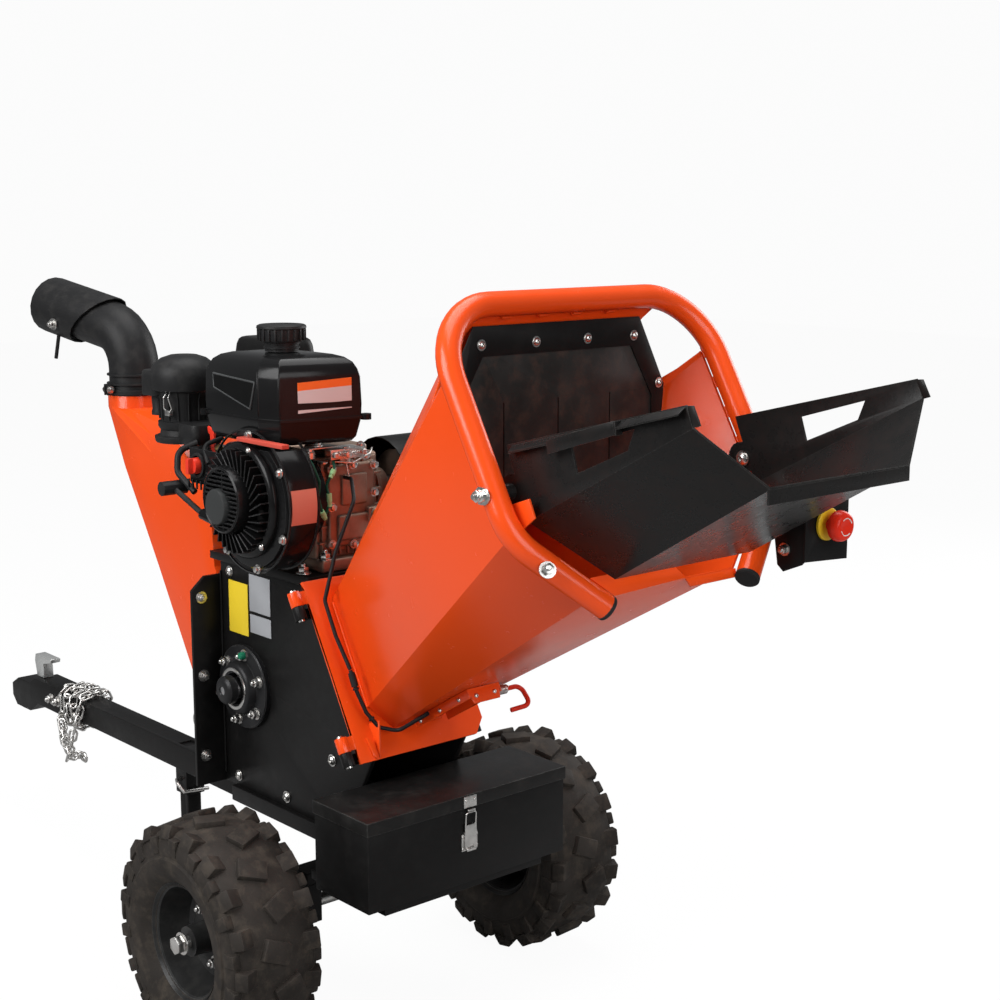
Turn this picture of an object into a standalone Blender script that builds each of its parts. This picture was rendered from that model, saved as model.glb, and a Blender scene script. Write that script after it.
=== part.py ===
# Towable wood chipper, metres, +Z up, +X toward the infeed mouth, origin under the stand foot.
import bpy
import bmesh
import math
from mathutils import Matrix, Vector

for old in list(bpy.data.objects):
    bpy.data.objects.remove(old, do_unlink=True)

# ---------------------------------------------------------------- driving sizes
GAP = 0.0003                 # clearance between neighbouring pieces
SHEET = 0.003                # hopper, table and chute sheet
PLATE = 0.006                # rotor housing plate
SEG = 20                     # sides of a plain round piece

TILT = math.radians(30.0)    # lean of the hopper flange and of the mouth frame
FLANGE_TOP = (0.542, 0.668)  # x, z of the flange top edge, rear face
FLANGE_LEN = 0.284
FLANGE_HALF = 0.120
HINGE_Y = -0.137
MOUTH_TOP = (0.994, 1.103)   # x, z of the mouth frame top tube centre
MOUTH_LEN = 0.405            # mouth frame, top tube centre to open ends
MOUTH_HALF = 0.235
MOUTH_END_HALF = 0.128
MOUTH_BEND = 0.310
MOUTH_CORNER = 0.098
TUBE_R = 0.0160

HOUSE_HALF = 0.090           # outer faces of the side plates
HOUSE_REAR = 0.2725
HOUSE_BOTTOM = 0.2850
DECK_Z = 0.6573
DECK_T = 0.0127
ROTOR = (0.342, 0.461)
ROTOR_R = 0.108
KNIFE_R = 0.118
SHAFT_R = 0.0175
BEARING_R = 0.0685

CRANK = (0.462, 0.785)
PULLEY_Y = 0.132
CLUTCH_R = 0.050
ROTOR_PULLEY_R = 0.070
BELT_T = 0.008
BELT_W = 0.016
GUARD_R = 0.090
GUARD_TOP_R = 0.076
GUARD_Y = (0.0903, 0.165)
GUARD_T = 0.002
CASE_Y = 0.0880
TANK_Z = 0.8703              # underside of the fuel tank

BAR = 0.0225                 # half of the square tow bar
BAR_Z = 0.239
BAR_FRONT = -0.505
LEG = 0.0135                 # half of the square stand leg
SLEEVE = 0.0185
SLEEVE_LOW = 0.170
LEG_TOP = 0.2580
PIN_Z = 0.198
PIN_R = 0.0035

AXLE = (0.570, 0.178)
AXLE_R = 0.0100
TRACK = 0.295
TYRE_R = 0.1775
TYRE_W = 0.148
RIM_R = 0.082

BOX_X = (0.664, 0.792)
BOX_Y = 0.186
BOX_Z = (0.245, 0.380)
LID_H = 0.014

COLLAR = (-0.150, 0.885)     # x, z of the chute outlet
OUTLET_R = 0.0480
ELBOW_R = 0.0445
ELBOW_BEND = 0.075
ELBOW_TURN = math.radians(79.7)
ELBOW_YAW = math.radians(9.0)
SLEEVE_R = 0.0520
DEFLECT_REACH = 0.238        # collar axis to the open end, along the pipe
DEFLECT_PIVOT = (-0.315, 1.0055)

TABLE_PIVOT = (1.112, 0.890)
TABLE_HALF = 0.205
STOP = (1.300, 0.210, 0.820)

NORMAL = Vector((math.cos(TILT), 0.0, math.sin(TILT)))
DOWN = Vector((math.sin(TILT), 0.0, -math.cos(TILT)))


# ---------------------------------------------------------------- materials
def material(name, color, rough, metal):
    mat = bpy.data.materials.new(name)
    mat.use_nodes = True
    bsdf = mat.node_tree.nodes["Principled BSDF"]
    bsdf.inputs["Base Color"].default_value = (*color, 1.0)
    bsdf.inputs["Roughness"].default_value = rough
    bsdf.inputs["Metallic"].default_value = metal
    return mat


ORANGE = (0.82, 0.10, 0.012)
BLACK = (0.012, 0.012, 0.012)
ZINC = (0.62, 0.62, 0.60)
RED = (0.62, 0.02, 0.01)


# ---------------------------------------------------------------- builders
def obj_from(name, verts, faces):
    mesh = bpy.data.meshes.new(name)
    mesh.from_pydata([tuple(v) for v in verts], [], faces)
    bm = bmesh.new()
    bm.from_mesh(mesh)
    bmesh.ops.recalc_face_normals(bm, faces=bm.faces)
    bm.to_mesh(mesh)
    bm.free()
    obj = bpy.data.objects.new(name, mesh)
    bpy.context.scene.collection.objects.link(obj)
    return obj


def box(name, lo, hi):
    v = [(x, y, z) for x in (lo[0], hi[0]) for y in (lo[1], hi[1]) for z in (lo[2], hi[2])]
    f = [(0, 1, 3, 2), (4, 6, 7, 5), (0, 4, 5, 1), (2, 3, 7, 6), (0, 2, 6, 4), (1, 5, 7, 3)]
    return obj_from(name, v, f)


def slab(name, pts, y0, y1):
    """Closed prism of an XZ outline between two Y values."""
    n = len(pts)
    v = [(p[0], y0, p[1]) for p in pts] + [(p[0], y1, p[1]) for p in pts]
    f = [tuple(range(n)), tuple(range(2 * n - 1, n - 1, -1))]
    f += [(i, (i + 1) % n, n + (i + 1) % n, n + i) for i in range(n)]
    return obj_from(name, v, f)


def prism(name, pts, vec):
    """Closed prism of a flat 3-D outline pushed along a vector."""
    n = len(pts)
    v = [Vector(p) for p in pts]
    v += [p + Vector(vec) for p in v[:n]]
    f = [tuple(range(n)), tuple(range(2 * n - 1, n - 1, -1))]
    f += [(i, (i + 1) % n, n + (i + 1) % n, n + i) for i in range(n)]
    return obj_from(name, v, f)


def basis(axis):
    axis = Vector(axis).normalized()
    side = Vector((0, 0, 1)) if abs(axis.z) < 0.9 else Vector((1, 0, 0))
    u = side.cross(axis).normalized()
    return u, axis.cross(u).normalized(), axis


def rings(name, rows, closed_loop=False):
    """Skin of equal rings; ends capped unless the rows close on themselves."""
    n = len(rows[0])
    v = [p for row in rows for p in row]
    f = []
    count = len(rows) if closed_loop else len(rows) - 1
    for r in range(count):
        a = r * n
        b = ((r + 1) % len(rows)) * n
        f += [(a + i, a + (i + 1) % n, b + (i + 1) % n, b + i) for i in range(n)]
    if not closed_loop:
        f.append(tuple(range(n)))
        f.append(tuple(range(len(v) - 1, len(v) - n - 1, -1)))
    return obj_from(name, v, f)


def lathe(name, origin, axis, profile, seg=SEG, hollow=False):
    """Turn (distance, radius) points about an axis; hollow closes the profile on itself."""
    u, w, a = basis(axis)
    o = Vector(origin)
    rows = []
    for d, r in profile:
        rows.append([o + a * d + (u * math.cos(t) + w * math.sin(t)) * r
                     for t in [2 * math.pi * i / seg for i in range(seg)]])
    return rings(name, rows, closed_loop=hollow)


def cyl(name, origin, axis, length, radius, seg=SEG):
    return lathe(name, origin, axis, [(0, radius), (length, radius)], seg)


def tube(name, path, radius, seg=10, side=None):
    """Solid round bar along a path of points, with mitred corners."""
    pts = [Vector(p) for p in path]
    rows = []
    ref = Vector(side) if side else basis(pts[1] - pts[0])[0]
    for i, p in enumerate(pts):
        a = (pts[i] - pts[i - 1]).normalized() if i else (pts[1] - pts[0]).normalized()
        b = (pts[i + 1] - pts[i]).normalized() if i < len(pts) - 1 else a
        t = (a + b).normalized()
        ref = (ref - t * ref.dot(t)).normalized()
        other = t.cross(ref).normalized()
        rows.append([p + ref * math.cos(k) * radius + other * math.sin(k) * radius
                     for k in [2 * math.pi * j / seg for j in range(seg)]])
    return rings(name, rows)


def merge(base, others, operation="UNION"):
    for other in others:
        mod = base.modifiers.new("join", "BOOLEAN")
        mod.operation = operation
        mod.solver = "EXACT"
        mod.object = other
        dg = bpy.context.evaluated_depsgraph_get()
        mesh = bpy.data.meshes.new_from_object(base.evaluated_get(dg))
        base.modifiers.clear()
        old_mesh = base.data
        base.data = mesh
        bpy.data.meshes.remove(old_mesh)
        bpy.data.objects.remove(other, do_unlink=True)
    return base


def cut(base, others):
    return merge(base, others, "DIFFERENCE")


def arc(center, radius, a0, a1, steps):
    return [(center[0] + radius * math.cos(a0 + (a1 - a0) * i / steps),
             center[1] + radius * math.sin(a0 + (a1 - a0) * i / steps)) for i in range(steps + 1)]


def finish(obj, name, color, rough=0.4, metal=0.0, origin=None, smooth=False):
    obj.name = name
    obj.data.name = name
    obj.data.materials.clear()
    obj.data.materials.append(material(name, color, rough, metal))
    for poly in obj.data.polygons:
        poly.material_index = 0
    if smooth:
        obj.data.shade_smooth()
        obj.data.set_sharp_from_angle(angle=math.radians(32))
    if origin is not None:
        o = Vector(origin)
        obj.data.transform(Matrix.Translation(-o))
        obj.location = o
    return obj


def leaning(top, y, d, h):
    """Point in a leaning frame: d down the face, h in front of it."""
    return Vector((top[0], y, top[1])) + DOWN * d + NORMAL * h


def flange_pt(y, d, h=0.0):
    return leaning(FLANGE_TOP, y, d, h)


def mouth_pt(y, d, h=0.0):
    return leaning(MOUTH_TOP, y, d, h)


# ---------------------------------------------------------------- chassis, bar, stand
rail = box("rail", (0.2500, -BAR, BAR_Z - BAR), (0.640, BAR, BAR_Z + BAR))
bed = box("bed", (0.300, -0.098, BAR_Z + BAR - 0.002), (0.640, 0.098, HOUSE_BOTTOM - GAP))
cross = box("cross", (AXLE[0] - 0.02, -0.150, 0.200), (AXLE[0] + 0.02, 0.150, BAR_Z - 0.005))
lugs = [box("lug", (AXLE[0] - 0.022, s - 0.012, AXLE[1] - 0.024), (AXLE[0] + 0.022, s + 0.012, 0.215))
        for s in (-0.138, 0.138)]
shelf = box("shelf", (0.600, -0.150, 0.2300), (BOX_X[1] - 0.01, 0.150, BOX_Z[0] - GAP))
frame = merge(rail, [bed, cross, shelf] + lugs)
bore = [cyl("bore", (AXLE[0], -0.2, AXLE[1]), (0, 1, 0), 0.4, AXLE_R + GAP, 16)]
finish(cut(frame, bore), "chassis_frame", BLACK)

bar = box("bar", (BAR_FRONT, -BAR, BAR_Z - BAR), (0.2500 - GAP, BAR, BAR_Z + BAR))
sock = box("sock", (-SLEEVE, -SLEEVE, SLEEVE_LOW), (SLEEVE, SLEEVE, BAR_Z))
bar = merge(bar, [sock])
hole = box("hole", (-LEG - GAP, -LEG - GAP, 0.1), (LEG + GAP, LEG + GAP, 0.4))
pin_bore = cyl("pb", (0, -0.05, PIN_Z), (0, 1, 0), 0.1, PIN_R + GAP, 12)
finish(cut(bar, [hole, pin_bore]), "tow_bar", BLACK)

leg = box("leg", (-LEG, -LEG, 0.004), (LEG, LEG, LEG_TOP))
foot = lathe("foot", (0, 0, 0), (0, 0, 1), [(0, 0.040), (0.006, 0.040)], 24)
leg = merge(leg, [foot])
finish(cut(leg, [cyl("pb", (0, -0.05, PIN_Z), (0, 1, 0), 0.1, PIN_R + GAP, 12)]),
       "stand_leg", BLACK, origin=(0, 0, 0))

wire = [(0, -LEG - 2 * GAP, PIN_Z), (0, -0.028, PIN_Z), (0.010, -0.032, PIN_Z - 0.004), (0.026, -0.028, PIN_Z - 0.016),
        (0.026, 0.022, PIN_Z - 0.020)]
finish(tube("pin", wire, PIN_R, 8), "stand_pin", ZINC, 0.35, 1.0, origin=(0, 0, PIN_Z), smooth=True)

CB = BAR + 0.0035
body = slab("coupler", [(BAR_FRONT + 0.060, BAR_Z + CB), (BAR_FRONT + 0.060, BAR_Z - CB),
                        (BAR_FRONT - 0.050, BAR_Z - CB), (BAR_FRONT - 0.085, BAR_Z - 0.048),
                        (BAR_FRONT - 0.145, BAR_Z - 0.048), (BAR_FRONT - 0.163, BAR_Z - 0.030),
                        (BAR_FRONT - 0.163, BAR_Z - 0.004), (BAR_FRONT - 0.135, BAR_Z + 0.012),
                        (BAR_FRONT - 0.085, BAR_Z + 0.012), (BAR_FRONT - 0.060, BAR_Z + CB)], -CB, CB)
inner = box("in", (BAR_FRONT - GAP, -BAR - GAP, BAR_Z - BAR - GAP),
            (BAR_FRONT + 0.07, BAR + GAP, BAR_Z + BAR + GAP))
ball = lathe("ball", (BAR_FRONT - 0.115, 0, BAR_Z - 0.060), (0, 0, 1),
             [(0, 0.0245), (0.040, 0.0245), (0.054, 0.016)], 16)
finish(cut(body, [inner, ball]), "coupler_body", BLACK)

LATCH = (BAR_FRONT - 0.060, BAR_Z + CB + 0.012)
post = slab("latch", [(LATCH[0] - 0.016, LATCH[1] - 0.0115), (LATCH[0] + 0.014, LATCH[1] - 0.0115),
                      (LATCH[0] + 0.012, LATCH[1] + 0.018), (LATCH[0] + 0.046, LATCH[1] + 0.026),
                      (LATCH[0] + 0.048, LATCH[1] + 0.034), (LATCH[0] - 0.020, LATCH[1] + 0.034),
                      (LATCH[0] - 0.024, LATCH[1] + 0.020)], -0.011, 0.011)
finish(post, "coupler_latch", ZINC, 0.35, 1.0, origin=(LATCH[0] - 0.016, 0, LATCH[1] - 0.0115))

WRAP = BAR * math.sqrt(2) + 0.0050
chain = []
for i in range(33):
    t = i / 32
    a = 2 * math.pi * 2.0 * t
    chain.append((-0.440 + 0.100 * t, WRAP * math.cos(a), BAR_Z + WRAP * math.sin(a)))
chain += [(-0.335, 0.040, BAR_Z - 0.030), (-0.347, 0.034, BAR_Z - 0.062), (-0.370, 0.010, BAR_Z - 0.085),
          (-0.395, -0.020, BAR_Z - 0.070)]
finish(tube("chain", chain, 0.0045, 6), "safety_chain", ZINC, 0.4, 1.0, smooth=True)

# ---------------------------------------------------------------- axle and wheels
finish(cyl("axle", (AXLE[0], -TRACK - 0.060, AXLE[1]), (0, 1, 0), 2 * TRACK + 0.12, AXLE_R, 16),
       "axle", ZINC, 0.4, 1.0, smooth=True)
H = TYRE_W / 2
for side, sgn in (("left", -1), ("right", 1)):
    c = (AXLE[0], sgn * TRACK, AXLE[1])
    tyre = [(-H * 0.72, RIM_R + GAP), (-H * 0.95, RIM_R + 0.020), (-H, TYRE_R - 0.048), (-H * 0.93, TYRE_R - 0.022),
            (-H * 0.60, TYRE_R - 0.006), (-H * 0.22, TYRE_R), (H * 0.22, TYRE_R), (H * 0.60, TYRE_R - 0.006),
            (H * 0.93, TYRE_R - 0.022), (H, TYRE_R - 0.048), (H * 0.95, RIM_R + 0.020), (H * 0.72, RIM_R + GAP)]
    finish(lathe("t", c, (0, 1, 0), tyre, 32, hollow=True), "tyre_" + side, (0.02, 0.018, 0.016), 0.85, 0.0,
           origin=c, smooth=True)
    rim = [(-H * 0.72, RIM_R), (-H * 0.72, RIM_R - 0.010), (-0.010, RIM_R - 0.014), (-0.010, 0.030),
           (-0.052, 0.024), (-0.052, AXLE_R + GAP), (0.052, AXLE_R + GAP), (0.052, 0.024), (0.010, 0.030),
           (0.010, RIM_R - 0.014), (H * 0.72, RIM_R - 0.010), (H * 0.72, RIM_R)]
    finish(lathe("r", c, (0, 1, 0), rim, 32, hollow=True), "rim_" + side, BLACK, 0.35, 0.0,
           origin=c, smooth=True)

# ---------------------------------------------------------------- toolbox
outer = box("tb", (BOX_X[0], -BOX_Y, BOX_Z[0]), (BOX_X[1], BOX_Y, BOX_Z[1] - LID_H))
inside = box("ti", (BOX_X[0] + 0.002, -BOX_Y + 0.002, BOX_Z[0] + 0.002), (BOX_X[1] - 0.002, BOX_Y - 0.002, 0.5))
finish(cut(outer, [inside]), "toolbox_body", BLACK)
lid = box("lid", (BOX_X[0] - 0.002, -BOX_Y - 0.0025, BOX_Z[1] - 0.020), (BOX_X[1] + 0.0025, BOX_Y + 0.0025, BOX_Z[1]))
hollow = box("lh", (BOX_X[0] - 0.003, -BOX_Y - GAP, 0.2), (BOX_X[1] + GAP, BOX_Y + GAP, BOX_Z[1] - LID_H + GAP))
finish(cut(lid, [hollow]), "toolbox_lid", BLACK, origin=(BOX_X[0] - 0.002, 0, BOX_Z[1]))
LX = BOX_X[1] + GAP
latch = box("tl", (LX, -0.018, BOX_Z[1] - 0.085), (LX + 0.007, 0.012, BOX_Z[1] - 0.024))
finish(latch, "toolbox_latch", ZINC, 0.35, 1.0, origin=(LX, -0.003, BOX_Z[1] - 0.085))

# ---------------------------------------------------------------- rotor housing
FRONT = -PLATE - 2 * GAP
edge_hi = flange_pt(0, (FLANGE_TOP[1] - DECK_Z) / math.cos(TILT), FRONT - GAP)
edge_lo = flange_pt(0, 0.282, FRONT - GAP)
plate_xz = [(HOUSE_REAR, HOUSE_BOTTOM), (0.600, HOUSE_BOTTOM), (edge_lo.x, edge_lo.z),
            (edge_hi.x - 0.004, DECK_Z - GAP), (HOUSE_REAR, DECK_Z - GAP)]
for side, sgn in (("left", -1), ("right", 1)):
    y0, y1 = sorted((sgn * HOUSE_HALF, sgn * (HOUSE_HALF - PLATE)))
    plate = slab("sp", plate_xz, y0, y1)
    hole = cyl("h", (ROTOR[0], y0 - 0.01, ROTOR[1]), (0, 1, 0), 0.03, SHAFT_R + 0.004, 20)
    plate = cut(plate, [hole])
    if sgn < 0:
        for d in (0.036, 0.263):
            knuckle = tube("k", [flange_pt(HINGE_Y, d, 0.0), flange_pt(HINGE_Y, d + 0.020, 0.0)], 0.0095, 12)
            tab = prism("tab", [flange_pt(HINGE_Y, d + 0.002, -0.0067), flange_pt(HINGE_Y, d + 0.018, -0.0067),
                                flange_pt(HINGE_Y, d + 0.018, -0.0125), flange_pt(HINGE_Y, d + 0.002, -0.0125)],
                        (0, -HOUSE_HALF + 0.002 - HINGE_Y, 0))
            plate = merge(plate, [tab, knuckle])
    finish(plate, "side_plate_" + side, BLACK)

IN = HOUSE_HALF - PLATE - GAP
SH = 0.004


def sheet_xz(name, line, thick, half):
    """Closed strip following an XZ line, thickened to its left."""
    off = []
    for i, p in enumerate(line):
        a = Vector(line[max(i - 1, 0)])
        b = Vector(line[min(i + 1, len(line) - 1)])
        t = (b - a).normalized()
        off.append((p[0] - t.y * thick, p[1] + t.x * thick))
    return slab(name, list(line) + off[::-1], -half, half)


lower = arc(ROTOR, 0.137, math.radians(-119), math.radians(-32), 8)
lower_end = flange_pt(0, 0.246, -0.0035)
lower = [(HOUSE_REAR + 0.0025, lower[0][1] + 0.001)] + lower[1:] + [(lower_end.x, lower_end.z)]
shell = sheet_xz("low", lower, -SH, IN)
roof_z = DECK_Z - 0.016
roof_end = flange_pt(0, (FLANGE_TOP[1] - roof_z) / math.cos(TILT), -0.0035)
roof = slab("roof", [(HOUSE_REAR + 0.0006, roof_z), (roof_end.x, roof_z),
                     (roof_end.x - 0.003, roof_z + SH), (HOUSE_REAR + 0.0006, roof_z + SH)], -IN, IN)
ring = prism("ring", [flange_pt(-0.116, 0.008, FRONT + GAP), flange_pt(0.116, 0.008, FRONT + GAP),
                      flange_pt(0.116, 0.281, FRONT + GAP), flange_pt(-0.116, 0.281, FRONT + GAP)], NORMAL * PLATE)
mouth = prism("mo", [flange_pt(-0.074, 0.034, -0.05), flange_pt(0.074, 0.034, -0.05),
                     flange_pt(0.074, 0.238, -0.05), flange_pt(-0.074, 0.238, -0.05)], NORMAL * 0.08)
ring = cut(ring, [mouth])
finish(merge(ring, [shell, roof]), "rotor_shell", BLACK)

rear = box("rf", (HOUSE_REAR - GAP - PLATE, -0.145, HOUSE_BOTTOM), (HOUSE_REAR - GAP, HOUSE_HALF - GAP, 0.634))
opening = box("ro", (0.2, -0.083, 0.346), (0.3, 0.083, 0.618))
corner = [prism("co", [(0.2, y, 0.612), (0.2, y, 0.635), (0.2, y * 0.82, 0.635)], (0.1, 0, 0))
          for y in (-0.1455,)]
finish(cut(rear, [opening] + corner), "rear_flange", BLACK)

deck = box("dk", (0.2500, -0.096, DECK_Z), (0.5270, HOUSE_HALF, DECK_Z + DECK_T))
finish(deck, "engine_deck", BLACK)

for side, sgn in (("left", -1), ("right", 1)):
    prof = [(GAP, BEARING_R), (0.010, BEARING_R), (0.010, 0.046), (0.026, 0.042), (0.026, SHAFT_R + GAP),
            (GAP, SHAFT_R + GAP)]
    finish(lathe("b", (ROTOR[0], sgn * HOUSE_HALF, ROTOR[1]), (0, sgn, 0), prof, 24, hollow=True),
           "bearing_" + side, BLACK, 0.45, 0.2, smooth=True)

RC = (ROTOR[0], 0, ROTOR[1])
drum = lathe("d", (RC[0], -0.136, RC[2]), (0, 1, 0),
             [(0, SHAFT_R), (0.136 - 0.070, SHAFT_R), (0.136 - 0.070, ROTOR_R), (0.136 + 0.070, ROTOR_R),
              (0.136 + 0.070, SHAFT_R), (0.136 + PULLEY_Y + 0.022, SHAFT_R)], 24)
slots = []
KN = []
for a in (0.25, 0.25 + math.pi):
    u = Vector((math.cos(a), 0, math.sin(a)))
    w = Vector((-math.sin(a), 0, math.cos(a)))
    c = Vector(RC)
    pts = [c + u * 0.078 - w * 0.014, c + u * 0.13 - w * 0.014, c + u * 0.13 + w * 0.02, c + u * 0.078 + w * 0.004]
    slots.append(prism("s", [p + Vector((0, -0.066, 0)) for p in pts], (0, 0.132, 0)))
    kp = [c + u * 0.0783 - w * 0.0137, c + u * KNIFE_R - w * 0.0137, c + u * (KNIFE_R - 0.008) - w * 0.0037,
          c + u * 0.0783 - w * 0.0037]
    KN.append(prism("kn", [p + Vector((0, -0.065, 0)) for p in kp], (0, 0.130, 0)))
finish(cut(drum, slots), "rotor", (0.35, 0.35, 0.36), 0.4, 1.0, origin=RC, smooth=True)
for i, knife in enumerate(KN):
    finish(knife, "rotor_knife_" + str(i + 1), ZINC, 0.3, 1.0, origin=RC)
anvil = prism("av", [(x, -IN, z) for x, z in [(0.468, 0.3965), (0.500, 0.4050), (0.500, 0.4150), (0.468, 0.4080)]],
              (0, 2 * IN, 0))
finish(anvil, "anvil_bar", ZINC, 0.35, 1.0)

# ---------------------------------------------------------------- belt drive
YP = PULLEY_Y


def pulley(name, c, radius, y_in, bore):
    hw = BELT_W / 2
    prof = [(-hw - 0.004, radius + 0.004), (-hw - 0.0015, radius + 0.004), (-hw - 0.0005, radius - BELT_T),
            (hw + 0.0005, radius - BELT_T), (hw + 0.0015, radius + 0.004), (hw + 0.004, radius + 0.004),
            (hw + 0.004, bore), (-hw - 0.004, bore)]
    return lathe(name, (c[0], YP, c[1]), (0, 1, 0), prof, 28, hollow=True)


finish(pulley("rp", ROTOR, ROTOR_PULLEY_R, 0, SHAFT_R + GAP), "rotor_pulley", (0.3, 0.3, 0.3), 0.4, 1.0,
       origin=(ROTOR[0], YP, ROTOR[1]), smooth=True)
clutch = pulley("cp", CRANK, CLUTCH_R, 0, 0.012)
stub = cyl("st", (CRANK[0], CASE_Y + GAP, CRANK[1]), (0, 1, 0), YP + 0.020 - CASE_Y, 0.0130, 16)
finish(merge(clutch, [stub]), "clutch_pulley", (0.3, 0.3, 0.3), 0.4, 1.0, origin=(CRANK[0], YP, CRANK[1]),
       smooth=True)


def stadium(c0, r0, c1, r1, steps):
    """Outline hugging two circles, as XZ points."""
    a = Vector(c0)
    b = Vector(c1)
    d = b - a
    base = math.atan2(d.y, d.x)
    lean = math.acos((r0 - r1) / d.length)
    pts = arc(c0, r0, base + lean, base + 2 * math.pi - lean, steps)
    pts += arc(c1, r1, base - lean, base + lean, steps)
    return pts


def hollow_slab(name, out_pts, in_pts, y0, y1):
    n = len(out_pts)
    v = []
    for pts, y in ((out_pts, y0), (out_pts, y1), (in_pts, y1), (in_pts, y0)):
        v += [(p[0], y, p[1]) for p in pts]
    f = []
    for k in range(4):
        a = k * n
        b = ((k + 1) % 4) * n
        f += [(a + i, a + (i + 1) % n, b + (i + 1) % n, b + i) for i in range(n)]
    return obj_from(name, v, f)


inr = (ROTOR_PULLEY_R - BELT_T + 0.0010, CLUTCH_R - BELT_T + 0.0010)
belt = hollow_slab("belt", stadium(ROTOR, inr[0] + BELT_T, CRANK, inr[1] + BELT_T, 14),
                   stadium(ROTOR, inr[0], CRANK, inr[1], 14), YP - BELT_W / 2 + 0.0002, YP + BELT_W / 2 - 0.0002)
finish(belt, "drive_belt", (0.02, 0.02, 0.02), 0.8)
guard = slab("gd", stadium(ROTOR, GUARD_R, CRANK, GUARD_TOP_R, 12), GUARD_Y[0], GUARD_Y[1])
inner = slab("gi", stadium(ROTOR, GUARD_R - GUARD_T, CRANK, GUARD_TOP_R - GUARD_T, 12), GUARD_Y[0] - 0.01,
             GUARD_Y[1] - GUARD_T)
finish(cut(guard, [inner]), "belt_guard", BLACK)

# ---------------------------------------------------------------- discharge
CF = HOUSE_REAR - PLATE - 2 * GAP


def duct_ring(back, front, half, round_to=None):
    """Sixteen points: a rectangle across two XZ corners, or the same points pushed to a circle."""
    b = Vector(back)
    f = Vector(front)
    mid = (b + f) / 2
    rad = (f - b) / 2
    pts = []
    for i in range(16):
        a = 2 * math.pi * i / 16
        cx, cy = math.cos(a), math.sin(a)
        if round_to is None:
            k = 1 / max(abs(cx), abs(cy))
            cx, cy = cx * k, cy * k
        p = mid + rad * cx
        pts.append(Vector((p.x, half * cy, p.y)))
    return pts


def duct(name, shrink):
    s = shrink
    rows = [duct_ring((CF - 0.001, 0.352 + s), (CF - 0.001, 0.612 - s), 0.0860 - s),
            duct_ring((0.186 + s, 0.418 + s), (0.246 - s, 0.640 - s), 0.0860 - s),
            duct_ring((0.060 + s, 0.612 + s * 0.6), (0.234 - s, 0.755 - s), 0.0830 - s),
            duct_ring((-0.075 + s, 0.766 + s * 0.6), (0.085 - s, 0.850 - s), 0.0660 - s),
            duct_ring((COLLAR[0] - OUTLET_R + s, COLLAR[1] - 0.022), (COLLAR[0] + OUTLET_R - s, COLLAR[1] - 0.022),
                      OUTLET_R - s, True),
            duct_ring((COLLAR[0] - OUTLET_R + s, COLLAR[1]), (COLLAR[0] + OUTLET_R - s, COLLAR[1]), OUTLET_R - s, True)]
    if shrink:
        rows[0] = [p + Vector((0.004, 0, 0)) for p in rows[0]]
        rows[-1] = [p + Vector((0, 0, 0.004)) for p in rows[-1]]
    return rings(name, rows)


outer = duct("co", 0.0)
foot = box("cf", (CF - 0.006, -0.104, 0.334), (CF, HOUSE_HALF - GAP, 0.630))
chute = cut(merge(outer, [foot]), [duct("ci", SHEET)])
finish(chute, "discharge_chute", ORANGE, 0.3)

elbow_path = [(COLLAR[0], COLLAR[1] + GAP)]
mid_c = (COLLAR[0] - ELBOW_BEND, COLLAR[1] + 0.0464)
elbow_path += arc(mid_c, ELBOW_BEND, 0.0, ELBOW_TURN, 7)
aim = Vector((-math.sin(ELBOW_TURN), math.cos(ELBOW_TURN)))
tip = Vector(elbow_path[-1]) + aim * 0.112
elbow_path.append((tip.x, tip.y))


def swept_pipe(name, line, r_out, r_in, seg):
    rows_out, rows_in = [], []
    for i, p in enumerate(line):
        a = Vector(line[max(i - 1, 0)])
        b = Vector(line[min(i + 1, len(line) - 1)])
        t = (b - a).normalized()
        side = Vector((-t.y, 0, t.x))
        for rows, r in ((rows_out, r_out), (rows_in, r_in)):
            rows.append([Vector((p[0], 0, p[1])) + (side * math.cos(k) + Vector((0, 1, 0)) * math.sin(k)) * r
                         for k in [2 * math.pi * j / seg for j in range(seg)]])
    return rings(name, rows_out + rows_in[::-1], closed_loop=True)


elbow = swept_pipe("el", elbow_path, ELBOW_R, ELBOW_R - 0.0025, 20)
lip = lathe("lip", (COLLAR[0], 0, COLLAR[1] + GAP), (0, 0, 1),
            [(0, 0.0495), (0.010, 0.0495), (0.010, ELBOW_R - 0.0025), (0, ELBOW_R - 0.0025)], 20, hollow=True)
YAW = (Matrix.Translation((COLLAR[0], 0, 0)) @ Matrix.Rotation(ELBOW_YAW, 4, "Z")
       @ Matrix.Translation((-COLLAR[0], 0, 0)))
bosses = [cyl("pb", (DEFLECT_PIVOT[0], s * (ELBOW_R - 0.0060), DEFLECT_PIVOT[1]), (0, s, 0), 0.0051, 0.004, 12)
          for s in (-1, 1)]
elbow = merge(elbow, [lip] + bosses)
elbow.data.transform(YAW)
finish(elbow, "chute_elbow", BLACK, 0.5, origin=(COLLAR[0], 0, COLLAR[1]), smooth=True)

bend_len = ELBOW_BEND * math.tan(ELBOW_TURN / 2)
axis_end = Vector(elbow_path[-2]) + aim * (DEFLECT_REACH - bend_len)


def mitred(name, r):
    far, near = [], []
    up = Vector((aim.y, -aim.x))
    for j in range(20):
        k = 2 * math.pi * j / 20
        side = up * math.cos(k) * r
        y = math.sin(k) * r
        far.append(Vector((axis_end.x + side.x, y, axis_end.y + side.y)))
        back = 0.1365 + 0.0445 * math.cos(k)
        q = axis_end - aim * back
        near.append(Vector((q.x + side.x, y, q.y + side.y)))
    return far, near


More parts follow.
